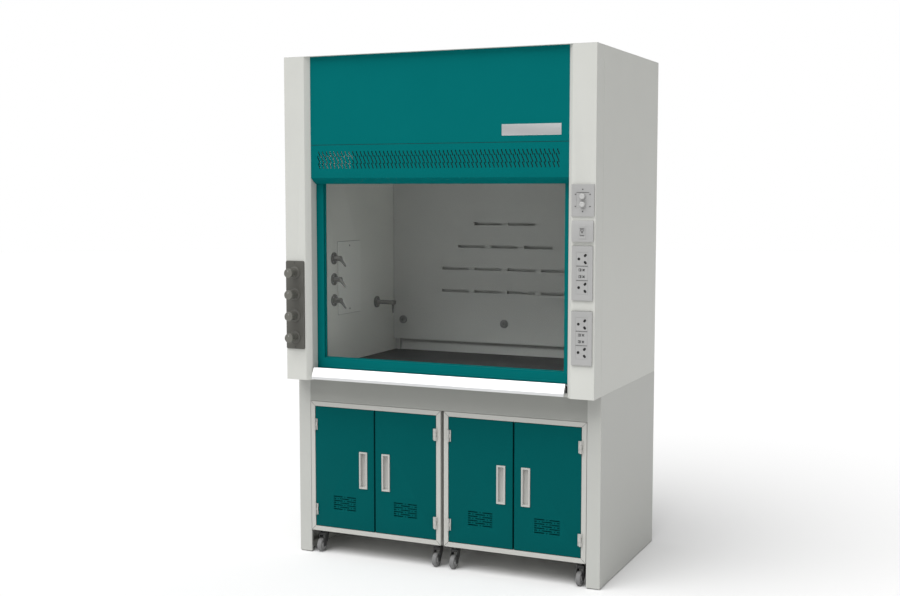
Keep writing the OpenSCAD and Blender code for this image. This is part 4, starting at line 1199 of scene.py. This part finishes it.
class HOOD_OT_valves(bpy.types.Operator):
    """Mount the valve plate, the valves behind it and the four ribbed knobs"""
    bl_idname = "hood.valves"
    bl_label = "Service valves"

    def execute(self, context):
        sizes = context.scene.hood_sizes
        lo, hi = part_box("valve_plate")
        bm = bmesh.new()
        e = 1.4 * MM
        stack(bm, [(rounded(lo.x, hi.x, lo.z, hi.z, 7 * MM), hi.y),
                   (rounded(lo.x, hi.x, lo.z, hi.z, 7 * MM), lo.y + e),
                   (rounded(lo.x + 0.4 * MM, hi.x - 0.4 * MM, lo.z + 0.4 * MM, hi.z - 0.4 * MM,
                            6.6 * MM), lo.y + 0.4 * MM),
                   (rounded(lo.x + e, hi.x - e, lo.z + e, hi.z - e, 5.6 * MM), lo.y)])
        piece("valve_plate_cast", tidy(bm), "grey plate", ROOT, "valve_plate")
        front = hi.y

        def sort(c, n):
            return 0 if c.y < front + 0.2 * MM else 1

        soften("service_valves", ["grey plate", "plated brass"], width=0.6 * MM,
               sort=sort)
        for k in range(1, 5):
            node = f"valve_knob_{k}"
            a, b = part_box(node)
            mid = (a + b) / 2
            reach = front - a.y
            root = front - b.y
            r = (b.x - a.x) / 2
            neck = r - 4 * MM
            bm = bmesh.new()
            lathe(bm, [(4.3 * MM, root), (neck - 0.8 * MM, root), (neck, root + 0.8 * MM),
                       (neck, reach - 17.5 * MM), (neck + 0.7 * MM, reach - 16 * MM),
                       (r - 1.8 * MM, reach - 15.8 * MM), (r - 0.5 * MM, reach - 15 * MM),
                       (r, reach - 13.6 * MM), (r, reach - 2.4 * MM),
                       (r - 0.6 * MM, reach - 0.9 * MM), (r - 2 * MM, reach),
                       (r - 4 * MM, reach), (r - 4.8 * MM, reach - 0.7 * MM),
                       (0, reach - 0.7 * MM)], (mid.x, front, mid.z), (0, -1, 0), 48)
            lathe(bm, [(0, reach - 22.4 * MM), (4.3 * MM, reach - 22.4 * MM), (4.3 * MM, root)],
                  (mid.x, front, mid.z), (0, -1, 0), 48)
            body = f"knob_{k}"
            piece(f"knob_{k}_turned", tidy(bm, 1e-5), "knob plastic", body, node,
                  35)
            bm = bmesh.new()
            brick(bm, (-0.6 * MM, -0.75 * MM, root + 3 * MM),
                  (0.7 * MM, 0.75 * MM, reach - 18.5 * MM))
            round_edges(bm, 0.35 * MM, 1)
            run_tree(f"knob_{k}_ribs", scratch("host", bmesh.new()), ring_tree, "Ring of copies",
                     "knob plastic", body, "dark_plastic", Item=scratch("rib_item", bm),
                     Count=sizes.knob_ribs, Radius=neck, Centre=(mid.x, front, mid.z),
                     Tilt=(math.pi / 2, 0, 0))
            bm = bmesh.new()
            run = rounded(mid.x - 0.8 * MM, mid.x + 0.8 * MM, mid.z + 6 * MM, mid.z + 14 * MM,
                          0.7 * MM, 3)
            stack(bm, [(run, front - reach + 0.9 * MM), (run, front - reach + 0.35 * MM)])
            piece(f"knob_{k}_mark", tidy(bm), "button plastic", body, ())
        return {"FINISHED"}


class HOOD_OT_outlets(bpy.types.Operator):
    """Turn the gas outlets with their hose nozzles and the water spout on the left wall"""
    bl_idname = "hood.outlets"
    bl_label = "Service outlets"

    def execute(self, context):
        wall = low("upper_fascia").x
        front = low("left_post").y
        top = high("worktop").z
        bm = bmesh.new()
        for i in range(3):
            at = Vector((wall, front + 227 * MM, top + (308 + 100 * i) * MM))
            lathe(bm, flange(29, 6) + [(x * MM, h * MM) for x, h in (
                (12.6, 9), (11.4, 10.5), (11.4, 26), (11.9, 27), (12, 30), (12, 39), (11.4, 41.4),
                (9, 43.4), (4.4, 44.4), (0, 44.6))], at, (1, 0, 0), 32)
            lathe(bm, nozzle(46), at + Vector((36 * MM, 0, -2 * MM)), slope(140), 20)
        at = Vector((wall, front + 663 * MM, top + 265 * MM))
        lathe(bm, flange(29, 8) + [(x * MM, h * MM) for x, h in (
            (14, 10), (11.6, 12), (11, 14), (11, 86), (12, 88), (12, 104), (11.2, 106.6),
            (8, 108), (0, 108))], at, (1, 0, 0), 36)
        lathe(bm, mm((0, 0), (6.6, 0), (6.6, 16), (5.8, 18), (5.4, 30), (6, 31), (4.6, 38),
                     (5.2, 39), (4, 46), (4.4, 47), (3.4, 54), (2.4, 54), (2.4, 50), (0, 50)),
              at + Vector((95 * MM, 0, 0)), (0, 0, -1), 24)
        piece("outlet_fittings", tidy(bm), "outlet coat", ROOT, "service_outlets",
              35)
        spots = []
        gas = [(top + (308 + 100 * i) * MM, front + 227 * MM, 6 * MM) for i in range(3)]
        for z, y, h in gas + [(top + 265 * MM, front + 663 * MM, 8 * MM)]:
            for a in (math.pi / 4 + math.pi / 2 * k for k in range(4)):
                spots.append((wall + h - 0.1 * MM, y + 21.5 * MM * math.cos(a),
                              z + 21.5 * MM * math.sin(a)))
        run_tree("outlet_screws", points(spots, (0, 0, math.pi / 2)), copies_tree,
                 "Copies on points", "zinc steel", ROOT, "steel",
                 Item=screw_head(2.6 * MM, 1.2 * MM), Size=1.0)
        return {"FINISHED"}


def flange(r, h):
    """Outline of a round wall flange, in metres."""
    return [(0, 0), (r * MM, 0), (r * MM, (h - 2) * MM), ((r - 0.6) * MM, (h - 0.6) * MM),
            ((r - 2) * MM, h * MM), (16 * MM, h * MM), (14.5 * MM, (h + 0.8) * MM)]


def nozzle(run):
    """Outline of a serrated hose nozzle, in metres."""
    out = mm((0, 0), (8.2, 0), (8.2, 10), (6.8, 12))
    for i in range(4):
        h = 16 + i * 6.2
        out += [((7.0 - 0.5 * i) * MM, h * MM), ((5.6 - 0.45 * i) * MM, (h + 5.6) * MM)]
    return out + [(3.2 * MM, run * MM), (2 * MM, run * MM), (2 * MM, (run - 3) * MM),
                  (0, (run - 3) * MM)]


def slope(angle):
    """The direction that an angle from straight up gives, in X and Z."""
    a = math.radians(angle)
    return (math.sin(a), 0, math.cos(a))


class HOOD_OT_electrics(bpy.types.Operator):
    """Fit the switch and socket plates, the two buttons and the rocker"""
    bl_idname = "hood.electrics"
    bl_label = "Switches and sockets"

    def execute(self, context):
        front = low("left_post").y
        plate_x = middle("socket_plates").x

        # Painted shade: the walls of the rocker's opening in the switch plate are near-black.
        def painted_shade_in_plate(c, n):
            return 1 if abs(c.x - plate_x) < 11 * MM and c.y > front - 9.5 * MM and (
                c.z < middle("light_rocker").z + 0.04) and c.y < front + 13 * MM and (
                abs(c.z - middle("light_rocker").z) < 18 * MM) else 0

        soften("switch_plates", ["pale plastic", "dark recess"], width=0.6 * MM,
               sort=painted_shade_in_plate)

        # Painted shade: the walls and floors of the socket pockets are near-black.
        def painted_shade_in_socket(c, n):
            if abs(c.x - plate_x) > 22 * MM:
                return 0
            inside = front - 6.6 * MM < c.y < front + 0.5 * MM and abs(n.y) < 0.5
            floor = front + 4 * MM < c.y < front + 8 * MM
            return 1 if inside or floor else 0

        soften("socket_plates", ["pale plastic", "dark recess"], width=0.7 * MM,
               sort=painted_shade_in_socket)
        self.marks(front, plate_x)
        for node, body in (("start_button", "start"), ("stop_button", "stop")):
            a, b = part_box(node)
            mid = (a + b) / 2
            r = (b.x - a.x) / 2
            out = b.y - a.y
            bm = bmesh.new()
            lathe(bm, [(0, 0), (r, 0), (r, out - 2.6 * MM), (r - 0.5 * MM, out - 1.2 * MM),
                       (r - 1.6 * MM, out - 0.3 * MM), (r - 3 * MM, out),
                       (r * 0.5, out - 0.5 * MM), (0, out - 0.8 * MM)],
                  (mid.x, b.y, mid.z), (0, -1, 0), 40)
            piece(body + "_button_cap", tidy(bm), "button plastic", body, node, 40)
            bm = bmesh.new()
            y = front - 5.5 * MM
            ring = ((0.5, 0), (3.4, 0), (3.4, 1.2), (2.8, 2.0), (1.2, 2.2), (0.5, 1.6), (0.5, 0))
            lathe(bm, [(r + wide * MM, rise * MM) for wide, rise in ring],
                  (mid.x, y, mid.z), (0, -1, 0), 40)
            piece(body + "_button_ring", tidy(bm), "pale plastic", ROOT, (), 40)
        a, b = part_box("light_rocker")
        mid = (a + b) / 2
        turn = Matrix.Translation((mid.x, front - 7 * MM, mid.z)) @ Matrix.Rotation(
            math.radians(8), 4, "X")
        bm = bmesh.new()
        brick(bm, (-9.5 * MM, -4.8 * MM, -15 * MM), (9.5 * MM, 4 * MM, 15 * MM))
        round_edges(bm, 1.0 * MM, 2)
        brick(bm, (-7 * MM, -4.95 * MM, 5.5 * MM), (7 * MM, -4 * MM, 13.5 * MM), 2)
        brick(bm, (-4.6 * MM, -5 * MM, 7.6 * MM), (4.6 * MM, -4 * MM, 10.6 * MM), 1)
        for s in (-1, 1):
            bar = [(s * 6.4 * MM, 4.6 * MM), (s * 2.6 * MM, 4.6 * MM), (0, -0.6 * MM),
                   (0, -6.2 * MM)]
            along_y(bm, bar, -5 * MM, -4 * MM, 2)
        brick(bm, (-7 * MM, -5 * MM, -13.4 * MM), (7 * MM, -4 * MM, -11.8 * MM), 2)
        bmesh.ops.transform(bm, matrix=turn, verts=bm.verts)
        piece("rocker_cap", tidy(bm), ["pale plastic", "button plastic", "mark grey"], "rocker",
              "light_rocker")
        return {"FINISHED"}

    def marks(self, front, x):
        """Black ovals of painted shade over the pin holes, the grey prints of the middle sockets,
        and dark bars of painted shadow along the grooves and the control plate's recess.
        """
        a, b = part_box("socket_plates")
        holes, prints_and_shade = bmesh.new(), bmesh.new()
        y = front - 8 * MM
        for level in (a.z + 114 * MM, b.z - 114 * MM):
            for s in (-1, 1):
                z = level + s * 60 * MM
                # Black ovals over the pin holes: painted shade.
                raise_mark(holes, oval(x - 14 * MM, z, 6 * MM, 6 * MM, 0), y)
                for t in (-1, 1):
                    raise_mark(holes, oval(x + 14 * MM, z + t * 15 * MM, 5.2 * MM, 7.4 * MM,
                                           -t * 40), y)
                # Dark bars of painted groove shadow between the socket modules.
                line = level + s * 30 * MM
                raise_mark(prints_and_shade, rounded(x - 26 * MM, x + 26 * MM, line - 0.9 * MM,
                                           line + 0.9 * MM, 0.3 * MM, 2), y)
                z = level + s * 14 * MM
                for u, w in ((-13.5, 2.2), (-3.5, 2.2)):
                    raise_mark(prints_and_shade, rounded(x + (u - w / 2) * MM, x + (u + w / 2) * MM,
                                               z - 6 * MM, z + 6 * MM, 0.4 * MM, 2), y)
                for v in (-5, 5):
                    raise_mark(prints_and_shade, rounded(x - 12.2 * MM, x - 4.8 * MM, z + (v - 1) * MM,
                                               z + (v + 1) * MM, 0.4 * MM, 2), y)
                for t in (-1, 1):
                    raise_mark(prints_and_shade, oval(x + 7 * MM, z, 1.5 * MM, 7.4 * MM, t * 48),
                               y - (0.03 * MM if t > 0 else 0))
        piece("socket_shutters", tidy(holes, 1e-7), "dark recess", ROOT, ())
        # A dark bar of painted shadow along the top edge of the control plate's recess.
        z = (middle("start_button").z + middle("stop_button").z) / 2 + 33 * MM
        raise_mark(prints_and_shade, rounded(x - 27.5 * MM, x + 27.5 * MM, z - 1 * MM, z + 0.8 * MM,
                                   0.3 * MM, 2), front - 5.5 * MM)
        piece("plate_prints", tidy(prints_and_shade, 1e-7), "mark grey", ROOT, ())


def oval(x, z, half, tall, turn):
    """A rounded run of points about a centre, turned in degrees."""
    a = math.radians(turn)
    return [(x + u * math.cos(a) - v * math.sin(a), z + u * math.sin(a) + v * math.cos(a))
            for u, v in rounded(-half, half, -tall, tall, half * 0.98, 4)]


def raise_mark(bm, run, y):
    """A mark a quarter of a millimetre high on a face that looks to the front."""
    stack(bm, [(run, y + 0.1 * MM), (run, y - 0.25 * MM)])


class HOOD_OT_plate_screws(bpy.types.Operator):
    """Drive the small crossed screws of the plates and access panels"""
    bl_idname = "hood.plate_screws"
    bl_label = "Plate screws"

    def execute(self, context):
        sizes = context.scene.hood_sizes
        front = low("left_post").y
        lo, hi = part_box("valve_plate")
        control_z = (middle("start_button").z + middle("stop_button").z) / 2
        x = middle("socket_plates").x
        spots = [(middle("valve_plate").x, lo.y, z) for z in (lo.z + 8 * MM, hi.z - 8 * MM)]
        spots += [(x, front - 7 * MM, control_z + s * 46 * MM) for s in (-1, 1)]
        spots += [(x + t * 32 * MM, front - 7 * MM, control_z + s * 25 * MM) for s in (-1, 1)
                  for t in (-1, 1)]
        run_tree("plate_screws", points(spots, (0, 0, 0)), copies_tree, "Copies on points",
                 "dark steel", ROOT, "steel", Item=screw_head(sizes.screw_radius * 0.82, 1.4 * MM),
                 Size=1.0)
        a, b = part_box("access_panels")
        spots, turns = [], []
        for side in (-1, 1):
            for z in (a.z + 22 * MM, b.z - 21 * MM):
                spots.append((side * (b.x - 3 * MM), (a.y + b.y) / 2, z))
                turns.append((0, 0, -side * math.pi / 2))
        run_tree("access_screws", points(spots, turns), copies_tree, "Copies on points",
                 "dark steel", ROOT, "steel", Item=screw_head(4.0 * MM, 1.8 * MM), Size=1.0)
        return {"FINISHED"}


class HOOD_OT_base(bpy.types.Operator):
    """Fold the legs and apron, and stand the bench frame on its levelling feet"""
    bl_idname = "hood.base"
    bl_label = "Bench base"

    def execute(self, context):
        sizes = context.scene.hood_sizes
        for node, look in (("left_leg", "leg coat"), ("right_leg", "leg coat"),
                           ("front_apron", "apron coat")):
            soften(node, look, width=sizes.edge_round)
        soften("bench_frame", "white coat", width=1.2 * MM)
        a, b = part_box("levelling_feet")
        bm = bmesh.new()
        r = 14 * MM
        for x in (a.x + r, b.x - r):
            for y in (a.y + r, b.y - r):
                lathe(bm, [(0, 0), (r - 0.8 * MM, 0), (r, 0.8 * MM), (r, 3 * MM),
                           (r - 1.2 * MM, 4 * MM), (8 * MM, 4.4 * MM), (6.5 * MM, 6 * MM)],
                      (x, y, 0), (0, 0, 1), 32, 0)
                lathe(bm, mm((6.5, 6), (8.6, 6.2), (8.6, 11), (7.6, 11.8), (5, 12)),
                      (x, y, 0), (0, 0, 1), 6, 1)
                thread = [(5 - 0.45 * (i % 2), 12 + i) for i in range(14)]
                lathe(bm, mm((5, 4), (5, 12), *thread, (4.4, 26), (0, 26)),
                      (x, y, 0), (0, 0, 1), 20, 1)
        piece("foot_screws", tidy(bm), ["black rubber", "zinc steel"], ROOT, "levelling_feet",
              35)
        return {"FINISHED"}


class HOOD_OT_cabinets(bpy.types.Operator):
    """Build the two cabinets with their mitred face frames, hinges and rear castors"""
    bl_idname = "hood.cabinets"
    bl_label = "Cabinets"

    def execute(self, context):
        front = low("left_leg").y
        for name, body in (("left_cabinet", "cabinet_left"), ("right_cabinet", "cabinet_right")):
            a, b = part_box(name)
            wall_z = b.z
            floor_z = cabinet_floor(name)

            def sort(c, n):
                if c.y < front - 0.4 * MM:
                    return 1
                if c.z < floor_z - 0.4 * MM:
                    return 2
                return 0

            soften(name, ["cabinet coat", "hinge grey", "dark steel"], body, 0.45 * MM,
                   sort=sort)
            bm = bmesh.new()
            w = 22 * MM
            x0, x1, z0, z1 = a.x, b.x, floor_z, wall_z
            outer = [(x0, z0), (x1, z0), (x1, z1), (x0, z1)]
            inner = [(x0 + w, z0 + w), (x1 - w, z0 + w), (x1 - w, z1 - w), (x0 + w, z1 - w)]
            for i, (ux, uz) in enumerate(((1, 0), (0, 1), (-1, 0), (0, -1))):
                j = (i + 1) % 4
                gap = 0.15 * MM
                corners = [(outer[i], gap), (outer[j], -gap), (inner[j], -gap), (inner[i], gap)]
                along_y(bm, [(x + ux * t, z + uz * t) for (x, z), t in corners],
                        front - 0.5 * MM, front + 1.2 * MM)
            bmesh.ops.recalc_face_normals(bm, faces=bm.faces)
            round_edges(bm, 0.45 * MM, 2)
            piece(name + "_face_frame", bm, "cabinet coat", body, ())
            bm = bmesh.new()
            for (ox, oz), (ix, iz) in zip(outer, inner):
                run = Vector((ix - ox, 0, iz - oz))
                across = Vector((-run.z, 0, run.x)).normalized() * 0.7 * MM
                p, q = Vector((ox, 0, oz)) + run * 0.04, Vector((ix, 0, iz)) - run * 0.04
                along_y(bm, [((p + across).x, (p + across).z), ((q + across).x, (q + across).z),
                             ((q - across).x, (q - across).z), ((p - across).x, (p - across).z)],
                        front - 0.6 * MM, front - 0.2 * MM)
            piece(name + "_mitre_seams", tidy(bm, 1e-9), "mark grey", body, ())
        return {"FINISHED"}


def cabinet_floor(name):
    """Height of a cabinet's underside, from the widest part of its mesh."""
    a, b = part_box(name)
    return min(v.co.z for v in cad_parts[name].data.vertices if v.co.x < a.x + 1e-4)


class HOOD_OT_doors(bpy.types.Operator):
    """Press the four doors with their louvres, recessed pulls and hinge knuckles"""
    bl_idname = "hood.doors"
    bl_label = "Cabinet doors"

    def execute(self, context):
        sizes = context.scene.hood_sizes
        front = low("left_leg").y
        barrel = 5.5 * MM
        thick = 18 * MM
        skin = 1.5 * MM
        for k in range(1, 5):
            node, body = f"door_{k}", f"leaf_{k}"
            a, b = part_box(node)
            side = -1 if k % 2 else 1
            hinge_x = a.x + barrel if side < 0 else b.x - barrel
            x0, x1 = (hinge_x, b.x) if side < 0 else (a.x, hinge_x)
            z0, z1 = a.z, b.z
            bm = bmesh.new()
            brick(bm, (x0, front, z0), (x1, front + thick, z1))
            round_edges(bm, 1.3 * MM, 3)
            made = brick(bm, (x0 + skin, front + skin, z0 + skin),
                         (x1 - skin, front + thick - skin, z1 - skin))
            bmesh.ops.reverse_faces(bm, faces=list({f for v in made for f in v.link_faces}))
            leaf = scratch("leaf_sheet", bm)
            free_x = x1 if side < 0 else x0
            grip_x = free_x + side * 55 * MM
            grip_z = (z0 + z1) / 2
            spots, sizes_of = [], []
            for row in range(7):
                spans = (((0, 0.4), (0.48, 0.52), (0.6, 1)) if row % 2 == 0 else
                         ((0, 0.11), (0.18, 0.22), (0.3, 0.7), (0.78, 0.82), (0.89, 1)))
                for s0, s1 in spans:
                    spots.append(((x0 + x1) / 2 + 119 * MM * ((s0 + s1) / 2 - 0.5),
                                  front + skin / 2, z0 + (150 - 10 * row) * MM))
                    sizes_of.append((119 * MM * (s1 - s0), 5 * MM, sizes.louvre_height))
            spots.append((grip_x, front + 4 * MM, grip_z))
            sizes_of.append((38 * MM, 20 * MM, 171 * MM))
            bm = bmesh.new()
            brick(bm, (-0.5, -0.5, -0.5), (0.5, 0.5, 0.5))
            run_tree(f"door_{k}_leaf", leaf, slotted_tree, "Slotted sheet", "door coat", body,
                     "teal_paint", replaces=node, Cutter=scratch("cut_item", bm),
                     Places=points(spots, None, sizes_of))
            self.pull(k, body, grip_x, grip_z, front)
            self.knuckles(k, body, hinge_x, side, front, z0, z1)
        return {"FINISHED"}

    def pull(self, k, body, x, z, front):
        def loop(grow, r):
            return rounded(x - 21 * MM - grow, x + 21 * MM + grow, z - 87.5 * MM - grow,
                           z + 87.5 * MM + grow, r, 5)

        bm = bmesh.new()
        stack(bm, [(loop(-1.2 * MM, 1.4 * MM), front + 14.5 * MM),
                   (loop(-1.2 * MM, 1.4 * MM), front + 0.1 * MM),
                   (loop(0, 1.8 * MM), front - 0.1 * MM), (loop(0, 1.8 * MM), front - 3 * MM),
                   (loop(-0.5 * MM, 1.6 * MM), front - 4.2 * MM),
                   (loop(-1.4 * MM, 1.4 * MM), front - 4.5 * MM),
                   (loop(-7 * MM, 1.2 * MM), front - 4.5 * MM),
                   (loop(-7.8 * MM, 1.1 * MM), front - 3.8 * MM),
                   (loop(-8.3 * MM, 1 * MM), front + 2 * MM),
                   (loop(-8.9 * MM, 1 * MM), front + 11.4 * MM),
                   (loop(-10.2 * MM, 0.9 * MM), front + 12.6 * MM)])
        piece(f"door_{k}_pull", tidy(bm), "hinge grey", body, (), 40)

    def knuckles(self, k, body, x, side, front, z0, z1):
        bm = bmesh.new()
        y = front - 6.5 * MM
        for z in (z0 + 79.5 * MM, z1 - 85.5 * MM):
            lathe(bm, mm((2.6, -8.8), (5, -8.8), (5.5, -8.3), (5.5, 8.3), (5, 8.8), (2.6, 8.8),
                         (2.6, -8.8)), (x, y, z), (0, 0, 1), 28)
            made = bmesh.new()
            for near, far, tall, y0 in ((0.8, 12, 8.6, -5.2), (6.6, 12, 26.5, -4.6)):
                xs = sorted((x - side * near * MM, x - side * far * MM))
                brick(made, (xs[0], front + y0 * MM, z - tall * MM),
                      (xs[1], front + 0.2 * MM, z + tall * MM))
            round_edges(made, 0.6 * MM, 2)
            copy = bpy.data.meshes.new("plate")
            made.to_mesh(copy)
            made.free()
            bm.from_mesh(copy)
            bpy.data.meshes.remove(copy)
        piece(f"door_{k}_knuckles", tidy(bm, 1e-7), "hinge grey", body, (), 35)


class HOOD_OT_castors(bpy.types.Operator):
    """Fit the swivel forks and turn the castor wheels with tyres and hubs"""
    bl_idname = "hood.castors"
    bl_label = "Castors"

    def execute(self, context):
        for k in range(1, 5):
            soften(f"castor_fork_{k}", "dark steel", f"fork_{k}", 0.7 * MM, 2)
            a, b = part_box(f"castor_wheel_{k}")
            self.wheels(f"castor_{k}_tyre", f"wheel_{k}", [(a + b) / 2], a, b, f"castor_wheel_{k}")
        for name, body in (("left_rear_wheels", "rear_wheels_left"),
                           ("right_rear_wheels", "rear_wheels_right")):
            a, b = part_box(name)
            width = 24 * MM
            mids = [Vector((x, (a.y + b.y) / 2, (a.z + b.z) / 2))
                    for x in (a.x + width / 2, b.x - width / 2)]
            self.wheels(name + "_tyres", body, mids, a, b, name)
        return {"FINISHED"}

    def wheels(self, name, body, mids, a, b, node):
        r = (b.z - a.z) / 2
        w = 12 * MM
        bm = bmesh.new()
        for mid in mids:
            lathe(bm, [(r * 0.72, -w + 1.4 * MM), (r - 5 * MM, -w + 0.6 * MM),
                       (r - 3 * MM, -w + 0.9 * MM), (r - 1.2 * MM, -w + 2.4 * MM),
                       (r - 0.2 * MM, -w + 5 * MM), (r, -w + 8 * MM), (r, w - 8 * MM),
                       (r - 0.2 * MM, w - 5 * MM), (r - 1.2 * MM, w - 2.4 * MM),
                       (r - 3 * MM, w - 0.9 * MM), (r - 5 * MM, w - 0.6 * MM),
                       (r * 0.72, w - 1.4 * MM)], mid, (1, 0, 0), 48, 0)
            lathe(bm, [(r * 0.72, w - 1.4 * MM), (r * 0.68, w - 3.4 * MM), (r * 0.4, w - 4 * MM),
                       (r * 0.34, w - 1.2 * MM), (r * 0.3, w), (4.3 * MM, w), (4.3 * MM, -w),
                       (r * 0.3, -w), (r * 0.34, -w + 1.2 * MM), (r * 0.4, -w + 4 * MM),
                       (r * 0.68, -w + 3.4 * MM), (r * 0.72, -w + 1.4 * MM)],
                  mid, (1, 0, 0), 48, 1)
        piece(name, tidy(bm), ["grey tyre", "wheel core"], body, node, 40)


class HOOD_PT_build(bpy.types.Panel):
    """Lists the steps of the build with their sizes and colours"""
    bl_idname = "HOOD_PT_build"
    bl_label = "Fume hood"
    bl_space_type = "VIEW_3D"
    bl_region_type = "UI"
    bl_category = "Fume Hood"

    def draw(self, context):
        for group in (context.scene.hood_sizes, context.scene.hood_colours):
            box = self.layout.box()
            for name in group.bl_rna.properties.keys():
                if name not in ("rna_type", "name"):
                    box.prop(group, name)
        for step in STEPS:
            self.layout.operator(step.bl_idname)


STEPS = (HOOD_OT_stage, HOOD_OT_panels, HOOD_OT_lower_fascia, HOOD_OT_badge, HOOD_OT_collar,
         HOOD_OT_lining, HOOD_OT_worktop, HOOD_OT_sash, HOOD_OT_balance, HOOD_OT_lamp,
         HOOD_OT_valves, HOOD_OT_outlets, HOOD_OT_electrics, HOOD_OT_plate_screws, HOOD_OT_base,
         HOOD_OT_cabinets, HOOD_OT_doors, HOOD_OT_castors)
CLASSES = (HoodSizes, HoodColours, *STEPS, HOOD_PT_build)


def register():
    for each in CLASSES:
        bpy.utils.register_class(each)
    bpy.types.Scene.hood_sizes = PointerProperty(type=HoodSizes)
    bpy.types.Scene.hood_colours = PointerProperty(type=HoodColours)


def unregister():
    del bpy.types.Scene.hood_colours
    del bpy.types.Scene.hood_sizes
    for each in reversed(CLASSES):
        bpy.utils.unregister_class(each)


def main():
    register()
    for step in STEPS:
        getattr(bpy.ops.hood, step.bl_idname.split(".")[1])()


if __name__ == "__main__":
    main()
